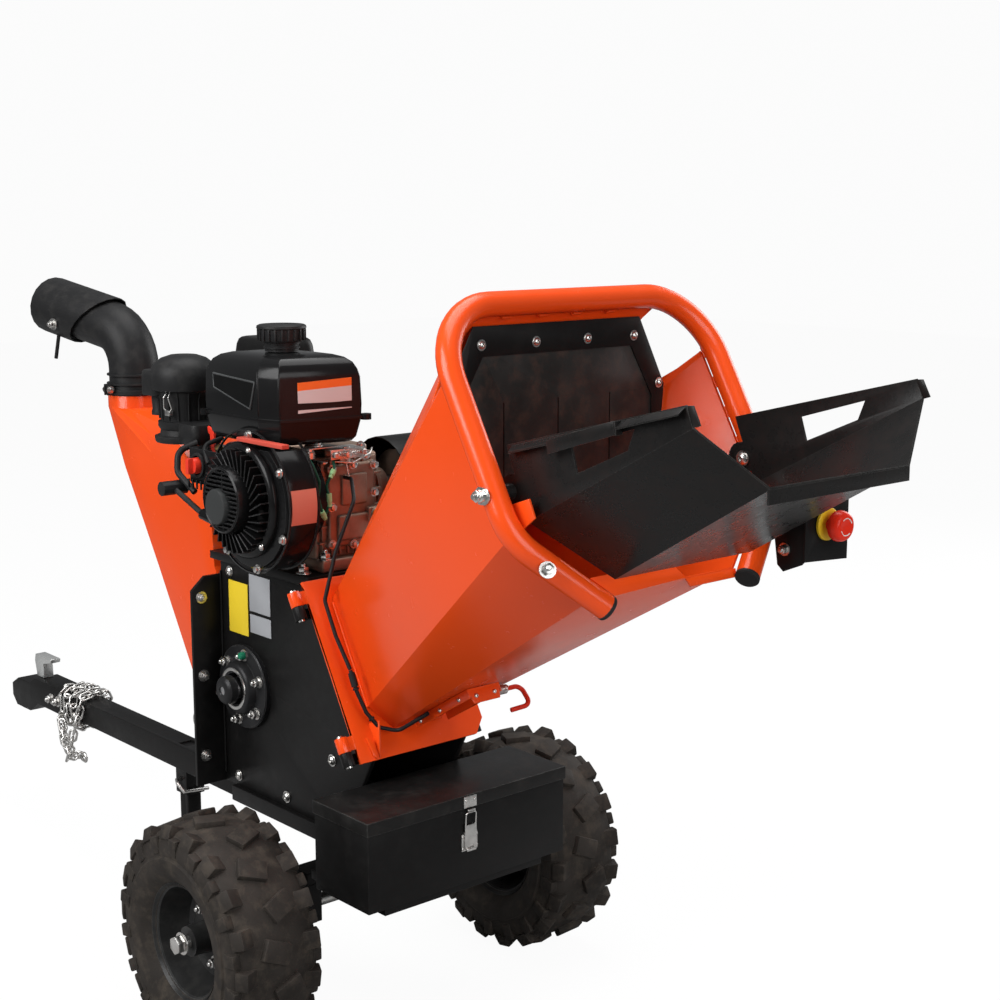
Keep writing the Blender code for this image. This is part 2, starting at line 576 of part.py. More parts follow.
of, on = mitred("o", SLEEVE_R)
inf, inn = mitred("i", SLEEVE_R - 0.002)
sleeve = rings("sl", [of, on, inn, inf], closed_loop=True)
px, pz = DEFLECT_PIVOT
lever = tube("lv", [(px - 0.014, -0.0300, pz - 0.0180), (px - 0.024, -0.032, pz - 0.066)], 0.0035, 8)
sleeve = merge(sleeve, [lever])
sleeve.data.transform(YAW)
finish(sleeve, "deflector_tube", BLACK, 0.5, origin=YAW @ Vector((px, 0, pz)), smooth=True)

# ---------------------------------------------------------------- hopper
REAR = [(-0.056, 0.014), (0.056, 0.014), (0.078, 0.034), (0.078, 0.205), (0.046, 0.244), (-0.046, 0.244),
        (-0.078, 0.205), (-0.078, 0.034)]
FACE = [(-0.165, 0.006), (0.165, 0.006), (0.228, 0.084), (0.228, 0.300), (0.126, 0.388), (-0.126, 0.388),
        (-0.228, 0.300), (-0.228, 0.084)]


def hopper_rows(shrink, extend):
    rear, face = [], []
    for pts, rows, place, h in ((REAR, rear, flange_pt, PLATE + 0.0005 - extend),
                                (FACE, face, mouth_pt, extend - TUBE_R - 0.0003)):
        mid = sum(p[1] for p in pts) / len(pts)
        half = max(p[1] for p in pts) - mid
        wide = max(p[0] for p in pts)
        for y, d in pts:
            rows.append(place(y * (wide - shrink) / wide, mid + (d - mid) * (half - shrink) / half, h))
    return [rear, face]


hopper = rings("ho", hopper_rows(0.0, 0.0))
hopper = cut(hopper, [rings("hi", hopper_rows(SHEET, 0.006))])
for s in (-1, 1):
    centre = mouth_pt(s * 0.196, 0.043, -0.090)
    hopper = cut(hopper, [cyl("cc", centre, NORMAL, 0.16, 0.046, 20)])
finish(hopper, "hopper_shell", ORANGE, 0.3, origin=flange_pt(HINGE_Y, 0.142))

hf = prism("hf", [flange_pt(-FLANGE_HALF, 0.0), flange_pt(FLANGE_HALF, 0.0), flange_pt(FLANGE_HALF, 0.262),
                  flange_pt(FLANGE_HALF - 0.020, FLANGE_LEN), flange_pt(-FLANGE_HALF, FLANGE_LEN)], NORMAL * PLATE)
hole = prism("hh", [flange_pt(y, d, -0.01) for y, d in [
    (-0.0465, 0.0174), (0.0465, 0.0174), (0.0740, 0.0370), (0.0740, 0.203), (0.0430, 0.2400), (-0.0430, 0.2400),
    (-0.0740, 0.203), (-0.0740, 0.0370)]], NORMAL * 0.03)
hf = cut(hf, [hole])
parts = []
for d in (0.0125, 0.2395):
    parts.append(tube("k", [flange_pt(HINGE_Y, d, 0.0), flange_pt(HINGE_Y, d + 0.0228, 0.0)], 0.0095, 12))
    parts.append(prism("tab", [flange_pt(HINGE_Y + 0.003, d + 0.001, 0.001),
                               flange_pt(HINGE_Y + 0.003, d + 0.0215, 0.001),
                               flange_pt(HINGE_Y + 0.003, d + 0.0215, PLATE - 0.0005),
                               flange_pt(HINGE_Y + 0.003, d + 0.001, PLATE - 0.0005)],
                       (0, -FLANGE_HALF + 0.004 - HINGE_Y, 0)))
finish(merge(hf, parts), "hopper_flange", ORANGE, 0.3, origin=flange_pt(HINGE_Y, 0.142))

loop = []
for y, d in [(-MOUTH_END_HALF, MOUTH_LEN), (-MOUTH_HALF + 0.020, MOUTH_BEND + 0.012),
             (-MOUTH_HALF + 0.004, MOUTH_BEND - 0.012), (-MOUTH_HALF, MOUTH_BEND - 0.040)]:
    loop.append(mouth_pt(y, d))
cr = MOUTH_CORNER
for k in range(7):
    a = math.pi - (math.pi / 2) * k / 6
    loop.append(mouth_pt(-MOUTH_HALF + cr + cr * math.cos(a), cr - cr * math.sin(a)))
mirror = [Vector((p.x, -p.y, p.z)) for p in reversed(loop)]
finish(tube("mf", loop + mirror, TUBE_R, 12, side=NORMAL), "mouth_frame", ORANGE, 0.3,
       origin=flange_pt(HINGE_Y, 0.142), smooth=True)

CX = 0.9745
roof_rear, roof_face = [row[0] for row in hopper_rows(SHEET, 0.006)]
rise = (roof_face.z - roof_rear.z) / (roof_face.x - roof_rear.x)
FRAME_TOP = roof_rear.z + rise * (CX - roof_rear.x) - 2 * GAP
cur = [(-0.148, FRAME_TOP), (0.148, FRAME_TOP), (0.198, 0.980), (0.191, 0.905), (0.178, 0.870), (-0.178, 0.870),
       (-0.191, 0.905), (-0.198, 0.980)]
win = [(-0.132, 1.036), (0.132, 1.036), (0.174, 0.966), (0.174, 0.860), (-0.174, 0.860), (-0.174, 0.966)]
cf = prism("cf", [(CX, y, z) for y, z in cur], (0.002, 0, 0))
cf = cut(cf, [prism("w", [(CX - 0.01, y, z) for y, z in win], (0.03, 0, 0))])
finish(cf, "curtain_frame", BLACK, origin=flange_pt(HINGE_Y, 0.142))
rub = [(-0.140, 1.0560), (0.140, 1.0560), (0.188, 0.976), (0.180, 0.880), (0.150, 0.815), (-0.150, 0.815),
       (-0.180, 0.880), (-0.188, 0.976)]
rc = prism("rc", [(CX - 0.0003, y, z) for y, z in rub], (-0.003, 0, 0))
slits = [box("s", (0.9, y - 0.001, 0.7), (1.0, y + 0.001, 0.975)) for y in (-0.095, 0.0, 0.095)]
finish(cut(rc, slits), "rubber_curtain", (0.03, 0.03, 0.03), 0.8, origin=(CX - 0.0003, 0, 1.056))

# ---------------------------------------------------------------- infeed table
ROOT = [(1.104, TABLE_HALF, 0.945), (1.142, TABLE_HALF, 0.858), (1.205, 0.122, 0.787)]
TIP = [(1.390, TABLE_HALF, 1.018), (1.400, TABLE_HALF, 0.994), (1.440, 0.125, 0.925)]
T = 0.0025


def table_ring(pts, drop):
    """Open trough section, outer side then inner side, as one closed ring."""
    out = [Vector((x, y, z)) for x, y, z in pts]
    ins = [Vector((out[0].x, out[0].y - T, out[0].z)), Vector((out[1].x - 0.0008, out[1].y - T, out[1].z + 0.0012)),
           Vector((out[2].x - 0.0012, out[2].y - 0.0010, out[2].z + T))]
    left_out = [Vector((p.x, -p.y, p.z)) for p in out]
    left_in = [Vector((p.x, -p.y, p.z)) for p in ins]
    return left_out + out[::-1] + ins + left_in[::-1]


trough = rings("tr", [table_ring(ROOT, 0), table_ring(TIP, 0)])
lipbar = box("lp", (1.4370, -0.126, 0.9080), (1.4395, 0.126, 0.9262))
cuts = []
for s in (-1, 1):
    cuts.append(prism("ht", [(1.215, s * 0.19, 0.955), (1.315, s * 0.19, 0.985), (1.305, s * 0.19, 0.960),
                             (1.225, s * 0.19, 0.925)], (0, s * 0.03, 0)))
table = cut(merge(trough, [lipbar]), cuts)
bosses = [cyl("bs", (TABLE_PIVOT[0], s * (TABLE_HALF - 0.001), TABLE_PIVOT[1]), (0, s, 0),
              MOUTH_HALF - TUBE_R - GAP - TABLE_HALF + 0.001, 0.010, 12)
          for s in (-1, 1)]
ears = [cyl("er", (TABLE_PIVOT[0] + 0.004, s * (TABLE_HALF - T), TABLE_PIVOT[1]), (0, s, 0), T - 0.0001, 0.022, 20)
        for s in (-1, 1)]
finish(merge(table, ears + bosses), "infeed_table", BLACK, 0.35, origin=(TABLE_PIVOT[0], 0, TABLE_PIVOT[1]))

# ---------------------------------------------------------------- stop switch
sx, sy, sz = STOP
BX = sx - 0.048
arm = prism("ar", [(1.108, 0.2565, 0.893), (1.142, 0.2565, 0.893), (1.172, 0.2565, 0.852), (BX + 0.003, 0.2565, 0.850),
                   (BX + 0.003, 0.2565, 0.768), (1.205, 0.2565, 0.762), (1.150, 0.2565, 0.815)], (0, -0.003, 0))
spacer = box("sp", (1.113, MOUTH_HALF + TUBE_R + GAP, 0.863), (1.140, 0.2545, 0.887))
face = prism("fa", [(BX, 0.2565, 0.850), (BX, 0.2565, 0.768), (BX, 0.170, 0.774), (BX, 0.170, 0.858),
                    (BX, 0.178, 0.862)], (0.003, 0, 0))
bracket = merge(arm, [face, spacer])
bracket = cut(bracket, [cyl("bh", (BX - 0.02, sy, sz), (1, 0, 0), 0.1, 0.0112, 16)])
finish(bracket, "stop_bracket", BLACK, origin=flange_pt(HINGE_Y, 0.142))
collar = lathe("sc", (BX - 0.012, sy, sz), (1, 0, 0),
               [(0, 0.0109), (0.0153, 0.0109), (0.0153, 0.020), (0.0210, 0.020), (0.0210, 0.0075), (0, 0.0075)],
               20, hollow=True)
finish(collar, "stop_collar", (0.75, 0.55, 0.03), 0.4, smooth=True)
button = lathe("sb", (BX - 0.008, sy, sz), (1, 0, 0),
               [(0, 0.0072), (0.0255, 0.0072), (0.0285, 0.019), (0.0380, 0.020), (0.0430, 0.0170), (0.0445, 0.010)], 20)
finish(button, "stop_button", RED, 0.35, origin=(BX - 0.008, sy, sz), smooth=True)

# ---------------------------------------------------------------- hopper latch
LB = (0.760, 0.498)
slope = math.atan2(0.768 - 0.452, 1.192 - 0.668)
FL = Vector((math.cos(slope), 0, math.sin(slope)))
FN = Vector((math.sin(slope), 0, -math.cos(slope)))
anchor = flange_pt(0, 0.244, PLATE + 0.0005)
floor_end = mouth_pt(0, 0.388, -0.004)
FL = (floor_end - anchor).normalized()
FN = Vector((FL.z, 0, -FL.x))


def under(y, along, drop):
    p = anchor + FL * along + FN * drop
    return Vector((p.x, y, p.z))


lb = prism("lb", [under(-0.030, 0.035, 0.0004), under(-0.030, 0.175, 0.0004), under(-0.030, 0.175, 0.014),
                  under(-0.030, 0.035, 0.014)], (0, 0.060, 0))
lb = cut(lb, [prism("lc", [under(-0.028, 0.03, 0.0024), under(-0.028, 0.18, 0.0024), under(-0.028, 0.18, 0.020),
                           under(-0.028, 0.03, 0.020)], (0, 0.056, 0)),
              cyl("ph", under(0.0, 0.158, 0.010), (0, 1, 0), 0.05, 0.0038, 12)])
finish(lb, "latch_bracket", ORANGE, 0.3, origin=flange_pt(HINGE_Y, 0.142))
grip = tube("lg", [under(0.010, 0.158, 0.010), under(0.074, 0.158, 0.010), under(0.079, 0.160, 0.014),
                   under(0.080, 0.166, 0.036), under(0.077, 0.164, 0.042), under(0.046, 0.158, 0.042)], 0.0035, 8)
finish(grip, "latch_handle", RED, 0.35, origin=under(0.030, 0.158, 0.010), smooth=True)

# ---------------------------------------------------------------- engine
EB = DECK_Z + DECK_T + GAP
CASE_X = 0.520
base = box("ba", (0.350, -0.0598, EB), (0.5250, CASE_Y - 0.004, EB + 0.018))
main = box("ma", (0.3750, -0.060, EB + 0.010), (CASE_X, CASE_Y, 0.8600))
boss = cyl("dp", (CASE_X - 0.010, 0.040, 0.750), (1, 0, 0), 0.0180, 0.015, 16)
rest = box("tr", (0.385, -0.058, 0.855), (0.515, -0.006, TANK_Z - GAP))
finish(merge(base, [main, boss, rest]), "crankcase", (0.40, 0.36, 0.32), 0.5, 0.7)
finish(box("hd", (0.2450, -0.055, 0.7300), (0.3750 - GAP, 0.080, 0.8600)), "cylinder_head", (0.4, 0.4, 0.4), 0.5, 0.8)

blow = lathe("bl", (CRANK[0], -0.0603, CRANK[1]), (0, -1, 0), [(0, 0.070), (0.040, 0.070), (0.040, 0.108), (0.080, 0.108), (0.095, 0.100)], 28)
switch_box = box("sw", (0.296, -0.1550, 0.795), (0.400, -0.1000, 0.850))
blow = merge(blow, [switch_box])
finish(cut(blow, [box("tp", (0.2, -0.3, 0.8670), (0.7, 0.3, 1.0)), box("bt", (0.2, -0.3, 0.5), (0.7, 0.3, EB + 0.012))]),
       "blower_housing", BLACK, 0.4)
RCY = -0.1553 - GAP
recoil = lathe("rc", (CRANK[0] - 0.006, RCY, CRANK[1] + 0.002), (0, -1, 0),
               [(0, 0.088), (0.018, 0.086), (0.030, 0.070), (0.034, 0.030), (0.042, 0.028)], 28)
guide = tube("gu", [(0.400, RCY - 0.012, 0.745), (0.352, RCY - 0.012, 0.752)], 0.009, 10)
finish(merge(recoil, [guide]), "recoil_cover", BLACK, 0.4, smooth=True)
HX = 0.3517 - 0.0003
dirv = Vector((-0.9422, 0, 0.3350))
p0 = Vector((HX, RCY - 0.012, 0.7521))
stem = tube("st", [p0 + dirv * 0.0002, p0 + dirv * 0.085], 0.0045, 8)
bar_c = p0 + dirv * 0.092
bar2 = tube("gp", [bar_c + Vector((0, -0.022, 0)), bar_c + Vector((0, 0.022, 0))], 0.0115, 12)
finish(merge(bar2, [stem]), "recoil_handle", BLACK, 0.5, origin=p0, smooth=True)

tank = [(0.338, 0.8870), (0.352, TANK_Z), (0.538, TANK_Z), (0.552, 0.8870), (0.552, 0.986), (0.534, 1.0060),
        (0.356, 1.0060), (0.338, 0.988)]
tk = slab("tk", tank, -0.150, -0.004)
seam = box("sm", (0.332, -0.156, 0.884), (0.558, 0.002, 0.888))
finish(merge(tk, [seam]), "fuel_tank", BLACK, 0.3)
finish(lathe("fc", (0.448, -0.080, 1.0063), (0, 0, 1), [(0, 0.032), (0.010, 0.032), (0.012, 0.038),
             (0.034, 0.038), (0.040, 0.032)], 24), "fuel_cap", BLACK, 0.45, origin=(0.448, -0.080, 1.0063), smooth=True)

AC = (0.180, -0.092)
dome = lathe("ac", (AC[0], AC[1], 0.842), (0, 0, 1),
             [(0, 0.046), (0.004, 0.055), (0.100, 0.055), (0.122, 0.048), (0.138, 0.030), (0.142, 0.012)], 24)
carb = box("cb", (0.205, -0.100, 0.800), (0.2960 - GAP, -0.0553, 0.8420 + 0.006))
finish(merge(dome, [carb]), "air_cleaner", BLACK, 0.45)
muff = box("mu", (0.175, 0.0035, 0.8603), (0.300, 0.095, 1.0080))
finish(muff, "muffler", BLACK, 0.45)
finish(lathe("ds", (CASE_X + 0.0083, 0.040, 0.750), (1, 0, 0), [(0, 0.0145), (0.012, 0.0145), (0.016, 0.012)], 16),
       "dipstick", (0.85, 0.45, 0.02), 0.45, origin=(CASE_X + 0.0083, 0.040, 0.750), smooth=True)
ck = prism("ck", [(0.2740, -0.1003, 0.8380), (0.2860, -0.1003, 0.8380), (0.2860, -0.1003, 0.8700),
                  (0.2680, -0.1003, 0.8760), (0.2680, -0.1003, 0.8660), (0.2740, -0.1003, 0.8620)], (0, -0.004, 0))
finish(ck, "choke_lever", RED, 0.4, origin=(0.280, -0.1003, 0.842))
th = box("th", (0.455, -0.1690, 0.8775), (0.575, -0.1563, 0.8837))
finish(th, "throttle_lever", RED, 0.4, origin=(0.515, -0.1563, 0.8806))
sw = lathe("es", (0.322, -0.1553, 0.824), (0, -1, 0), [(0, 0.0130), (0.012, 0.0120)], 16)
sw = merge(sw, [box("nb", (0.318, -0.1760, 0.812), (0.326, -0.1660, 0.836))])
finish(sw, "engine_switch", RED, 0.4, origin=(0.322, -0.1553, 0.824))

# ---------------------------------------------------------------- stop lead, two halves
a_end = flange_pt(-0.106, 0.150, 0.034)
lead_a = [(CASE_X + 0.0006, -0.020, 0.815), (CASE_X + 0.018, -0.020, 0.815), (0.579, -0.045, 0.790), (0.586, -0.085, 0.720), flange_pt(-0.108, 0.040, 0.030),
          flange_pt(-0.109, 0.095, 0.030), a_end]
finish(tube("la", lead_a, 0.0030, 8), "lead_engine_half", (0.02, 0.02, 0.02), 0.6, smooth=True)
b0 = a_end + DOWN * 0.0012
lead_b = [b0, flange_pt(-0.106, 0.182, 0.032), flange_pt(-0.096, 0.215, 0.024), flange_pt(-0.080, 0.240, 0.020),
          under(-0.055, 0.022, 0.010), under(-0.0405, 0.085, 0.0055)]
finish(tube("lb", lead_b, 0.0030, 8), "lead_hopper_half", (0.02, 0.02, 0.02), 0.6, smooth=True)
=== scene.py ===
import bpy
import math
from mathutils import Matrix, Vector


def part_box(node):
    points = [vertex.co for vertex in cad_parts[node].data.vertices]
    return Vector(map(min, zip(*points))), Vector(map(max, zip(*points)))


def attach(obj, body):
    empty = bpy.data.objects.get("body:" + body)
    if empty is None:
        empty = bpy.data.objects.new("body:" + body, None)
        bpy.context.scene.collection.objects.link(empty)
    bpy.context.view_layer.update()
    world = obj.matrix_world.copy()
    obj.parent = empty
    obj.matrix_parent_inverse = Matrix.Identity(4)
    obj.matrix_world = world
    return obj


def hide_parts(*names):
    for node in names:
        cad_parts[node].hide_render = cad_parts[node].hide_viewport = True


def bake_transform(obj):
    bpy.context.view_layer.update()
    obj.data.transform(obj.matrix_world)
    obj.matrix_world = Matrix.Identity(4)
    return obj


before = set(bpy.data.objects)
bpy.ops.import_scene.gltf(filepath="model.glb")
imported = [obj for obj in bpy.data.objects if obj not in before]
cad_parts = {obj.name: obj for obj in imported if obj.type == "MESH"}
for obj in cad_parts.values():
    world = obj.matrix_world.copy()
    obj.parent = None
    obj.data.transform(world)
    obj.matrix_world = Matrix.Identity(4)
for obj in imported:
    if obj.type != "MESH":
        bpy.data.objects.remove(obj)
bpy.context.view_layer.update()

# ------------------------------------------------------------------ studio
# A pale room with a camera at eye height on the infeed side. The key lamp is
# high on the recoil side, a weaker one stands by the infeed and one hangs above.
bpy.context.scene.view_settings.view_transform = "Standard"
bpy.ops.object.select_all(action="DESELECT")
bpy.ops.object.camera_add(location=(2.600, -1.520, 1.230),
                          rotation=(math.radians(80.0), 0.0, math.radians(48.9)))
camera = bpy.context.object
camera.name = "camera"
camera.data.sensor_width = 36.0
camera.data.lens = 61.2
camera.data.clip_end = 60.0
bpy.context.scene.camera = camera

for lamp_name, place, target, size, watts in (
        ("key_lamp", (0.2, -3.6, 2.9), (0.5, 0.0, 0.7), 2.6, 185.0),
        ("infeed_lamp", (4.2, -0.4, 1.9), (0.8, 0.0, 0.8), 2.2, 62.0),
        ("top_lamp", (0.4, 0.3, 4.2), (0.4, 0.0, 0.6), 3.0, 125.0),
        ("back_lamp", (0.6, 3.8, 2.0), (0.6, 0.0, 0.8), 2.4, 70.0)):
    bpy.ops.object.light_add(type="AREA", location=place)
    lamp = bpy.context.object
    lamp.name = lamp_name
    lamp.data.size = size
    lamp.data.energy = watts
    lamp.rotation_euler = (Vector(target) - Vector(place)).to_track_quat("-Z", "Y").to_euler()

room = bpy.data.worlds.new("room")
bpy.context.scene.world = room
room.use_nodes = True
nodes = room.node_tree.nodes
nodes.clear()
ambient = nodes.new("ShaderNodeBackground")
ambient.inputs["Color"].default_value = (0.95, 0.97, 1.0, 1.0)
ambient.inputs["Strength"].default_value = 0.16
white = nodes.new("ShaderNodeBackground")
white.inputs["Color"].default_value = (1.0, 1.0, 1.0, 1.0)
white.inputs["Strength"].default_value = 0.97
rays = nodes.new("ShaderNodeLightPath")
shine = nodes.new("ShaderNodeMath")
shine.operation = "MULTIPLY_ADD"
shine.inputs[1].default_value = 0.05
through = nodes.new("ShaderNodeMath")
through.operation = "MAXIMUM"
choose = nodes.new("ShaderNodeMixShader")
world_out = nodes.new("ShaderNodeOutputWorld")
link = room.node_tree.links.new
link(rays.outputs["Is Glossy Ray"], shine.inputs[0])
link(rays.outputs["Is Camera Ray"], shine.inputs[2])
link(shine.outputs[0], through.inputs[0])
link(rays.outputs["Is Transmission Ray"], through.inputs[1])
link(through.outputs[0], choose.inputs[0])
link(ambient.outputs[0], choose.inputs[1])
link(white.outputs[0], choose.inputs[2])
link(choose.outputs[0], world_out.inputs["Surface"])

bpy.ops.mesh.primitive_plane_add(size=24.0, location=(0.5, 0.0, 0.0))
floor = bpy.context.object
floor.name = "floor"
floor_paint = bpy.data.materials.new("floor_paint")
floor_paint.use_nodes = True
nodes = floor_paint.node_tree.nodes
link = floor_paint.node_tree.links.new
nodes["Principled BSDF"].inputs["Base Color"].default_value = (0.34, 0.34, 0.34, 1.0)
nodes["Principled BSDF"].inputs["Roughness"].default_value = 0.9
nodes["Principled BSDF"].inputs["Specular IOR Level"].default_value = 0.1
glow = nodes.new("ShaderNodeEmission")
glow.inputs["Strength"].default_value = 1.085
rays = nodes.new("ShaderNodeLightPath")
share = nodes.new("ShaderNodeMath")
share.operation = "MULTIPLY"
share.inputs[1].default_value = 0.88
soften = nodes.new("ShaderNodeMixShader")
link(rays.outputs["Is Camera Ray"], share.inputs[0])
link(share.outputs[0], soften.inputs[0])
link(nodes["Principled BSDF"].outputs[0], soften.inputs[1])
link(glow.outputs[0], soften.inputs[2])
link(soften.outputs[0], nodes["Material Output"].inputs["Surface"])
floor.data.materials.append(floor_paint)


# ------------------------------------------------------------------ tow bar, chassis and axle
# Square steel tube and folded plate, welded up and powder coated black. The
# coat is slightly grained and holds grey dust; its edges are painted lighter, partly as paint rubbed thin and
# partly as a painted highlight.
def coating(name, colour, mottle=0.06, rough=(0.30, 0.42), grain=900.0, depth=0.00006, metal=0.0,
            edge=None, edge_width=0.0010, dust=0.0, dust_colour=(0.30, 0.28, 0.25), blotch=7.0, sheen=0.16):
    """A paint, plating or plastic: mottled colour, uneven shine, fine grain, dust, and lighter edges that are
    partly rubbed wear and partly a painted highlight.
    """
    mat = bpy.data.materials.new(name)
    mat.use_nodes = True
    tree = mat.node_tree
    make = tree.nodes.new
    join_up = tree.links.new
    shader = tree.nodes["Principled BSDF"]
    shader.inputs["Metallic"].default_value = metal
    shader.inputs["Specular IOR Level"].default_value = sheen
    where = make("ShaderNodeTexCoord")
    cloud = make("ShaderNodeTexNoise")
    cloud.inputs["Scale"].default_value = blotch
    cloud.inputs["Detail"].default_value = 5.0
    join_up(where.outputs["Object"], cloud.inputs["Vector"])
    shade = make("ShaderNodeMapRange")
    shade.inputs["From Min"].default_value = 0.3
    shade.inputs["From Max"].default_value = 0.7
    shade.inputs["To Min"].default_value = 1.0 - mottle
    shade.inputs["To Max"].default_value = 1.0 + mottle
    join_up(cloud.outputs["Fac"], shade.inputs["Value"])
    tint = make("ShaderNodeVectorMath")
    tint.operation = "SCALE"
    tint.inputs[0].default_value = colour
    join_up(shade.outputs["Result"], tint.inputs["Scale"])
    top = tint.outputs["Vector"]
    streak = make("ShaderNodeTexNoise")
    streak.inputs["Scale"].default_value = 38.0
    streak.inputs["Detail"].default_value = 6.0
    streak.inputs["Roughness"].default_value = 0.65
    join_up(where.outputs["Object"], streak.inputs["Vector"])
    if dust:
        settle_map = make("ShaderNodeMapRange")
        settle_map.inputs["From Min"].default_value = 0.48
        settle_map.inputs["From Max"].default_value = 0.78
        settle_map.inputs["To Max"].default_value = dust
        join_up(streak.outputs["Fac"], settle_map.inputs["Value"])
        dusty = make("ShaderNodeMix")
        dusty.data_type = "RGBA"
        dusty.inputs["B"].default_value = (*dust_colour, 1.0)
        join_up(settle_map.outputs["Result"], dusty.inputs["Factor"])
        join_up(top, dusty.inputs["A"])
        top = dusty.outputs["Result"]
    # The edge colour is painted along rolled edges: partly paint rubbed thin, partly a painted highlight
    # where the edges catch the light.
    if edge:
        round_off = make("ShaderNodeBevel")
        round_off.samples = 3
        round_off.inputs["Radius"].default_value = edge_width
        flat = make("ShaderNodeNewGeometry")
        agree = make("ShaderNodeVectorMath")
        agree.operation = "DOT_PRODUCT"
        join_up(round_off.outputs[0], agree.inputs[0])
        join_up(flat.outputs["Normal"], agree.inputs[1])
        edge_wear_and_highlight = make("ShaderNodeMapRange")
        edge_wear_and_highlight.inputs["From Min"].default_value = 0.985
        edge_wear_and_highlight.inputs["From Max"].default_value = 0.80
        join_up(agree.outputs["Value"], edge_wear_and_highlight.inputs["Value"])
        patchy = make("ShaderNodeMath")
        patchy.operation = "MULTIPLY"
        join_up(edge_wear_and_highlight.outputs["Result"], patchy.inputs[0])
        join_up(streak.outputs["Fac"], patchy.inputs[1])
        rubbed_and_highlit_edges = make("ShaderNodeMix")
        rubbed_and_highlit_edges.data_type = "RGBA"
        rubbed_and_highlit_edges.inputs["B"].default_value = (*edge, 1.0)
        join_up(patchy.outputs[0], rubbed_and_highlit_edges.inputs["Factor"])
        join_up(top, rubbed_and_highlit_edges.inputs["A"])
        top = rubbed_and_highlit_edges.outputs["Result"]
    join_up(top, shader.inputs["Base Color"])
    gloss = make("ShaderNodeMapRange")
    gloss.inputs["From Min"].default_value = 0.3
    gloss.inputs["From Max"].default_value = 0.7
    gloss.inputs["To Min"].default_value = rough[0]
    gloss.inputs["To Max"].default_value = rough[1]
    join_up(streak.outputs["Fac"], gloss.inputs["Value"])
    join_up(gloss.outputs["Result"], shader.inputs["Roughness"])
    peel = make("ShaderNodeTexNoise")
    peel.inputs["Scale"].default_value = grain
    peel.inputs["Detail"].default_value = 2.0
    join_up(where.outputs["Object"], peel.inputs["Vector"])
    relief = make("ShaderNodeBump")
    relief.inputs["Strength"].default_value = 0.5
    relief.inputs["Distance"].default_value = depth
    join_up(peel.outputs["Fac"], relief.inputs["Height"])
    join_up(relief.outputs["Normal"], shader.inputs["Normal"])
    return mat


def activate(piece):
    bpy.ops.object.select_all(action="DESELECT")
    piece.select_set(True)
    bpy.context.view_layer.objects.active = piece


def bench_copy(node, rim=0.0008, steps=2):
    """A clean copy of a frame node: doubles merged, flats made whole, its edges rolled over."""
    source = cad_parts[node]
    piece = source.copy()
    piece.data = source.data.copy()
    piece.parent = None
    for key in list(piece.keys()):
        del piece[key]
    piece.name = node + "_skin"
    bpy.context.scene.collection.objects.link(piece)
    activate(piece)
    bpy.ops.object.mode_set(mode="EDIT")
    bpy.ops.mesh.customdata_custom_splitnormals_clear()
    bpy.ops.mesh.select_all(action="SELECT")
    bpy.ops.mesh.remove_doubles(threshold=0.000005)
    bpy.ops.mesh.dissolve_limited(angle_limit=math.radians(0.6))
    bpy.ops.object.mode_set(mode="OBJECT")
    roll = piece.modifiers.new("roll", "BEVEL")
    roll.width = rim
    roll.segments = steps
    roll.limit_method = "ANGLE"
    roll.angle_limit = math.radians(28.0)
    roll.use_clamp_overlap = True
    bpy.ops.object.modifier_apply(modifier="roll")
    bpy.ops.object.shade_smooth_by_angle(angle=math.radians(30.0))
    return piece


def settle(piece, body, material, slot, *nodes):
    """Gives a finished piece its material, its body and the nodes it stands for; its slot is not used."""
    piece.data.materials.clear()
    piece.data.materials.append(material)
    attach(piece, body)
    if nodes:
        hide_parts(*nodes)
    return piece


def dress(node, body, material, slot, rim=0.0008, steps=2):
    """A bench copy that needs no more than its rolled edges and its finish."""
    return settle(bench_copy(node, rim, steps), body, material, slot, node)


black_coat = coating("black_coat", (0.0060, 0.0058, 0.0058), mottle=0.15, rough=(0.34, 0.48), grain=1100.0,
                     depth=0.00012, edge=(0.040, 0.039, 0.037), dust=0.012)
zinc_plate = coating("zinc_plate", (0.55, 0.55, 0.53), mottle=0.12, rough=(0.26, 0.42), grain=420.0,
                     depth=0.00008, metal=1.0, edge=(0.75, 0.74, 0.70), dust=0.25, blotch=55.0)
for node in ("chassis_frame", "tow_bar"):
    dress(node, "chassis", black_coat, "black_paint", 0.0016, 3)
dress("axle", "chassis", zinc_plate, "zinc")


# ------------------------------------------------------------------ wheels
# Knobbly pneumatic tyres on pressed steel rims. The carcass is turned, and each
# lug is a block raised from the tread and copied round with the pattern handed.
def trace(name, points):
    """A chain of vertices drawn one by one, left open in edit mode with all of it selected."""
    bpy.ops.object.select_all(action="DESELECT")
    bpy.ops.mesh.primitive_plane_add(size=0.01, location=(0.0, 0.0, 0.0))
    piece = bpy.context.object
    piece.name = name
    bpy.ops.object.mode_set(mode="EDIT")
    bpy.ops.mesh.merge(type="CENTER")
    bpy.ops.transform.translate(value=points[0])
    for start, end in zip(points, points[1:]):
        bpy.ops.mesh.extrude_region_move(TRANSFORM_OT_translate={"value": Vector(end) - Vector(start)})
    bpy.ops.mesh.select_all(action="SELECT")
    return piece


def aim(piece, centre, axis):
    """Puts a piece made round +Z at the origin on its real axis, with its place in its mesh."""
    turn = Vector(axis).to_track_quat("Z", "Y").to_matrix().to_4x4()
    piece.matrix_world = Matrix.Translation(Vector(centre)) @ turn
    activate(piece)
    bpy.ops.object.transform_apply(location=True, rotation=True, scale=True)


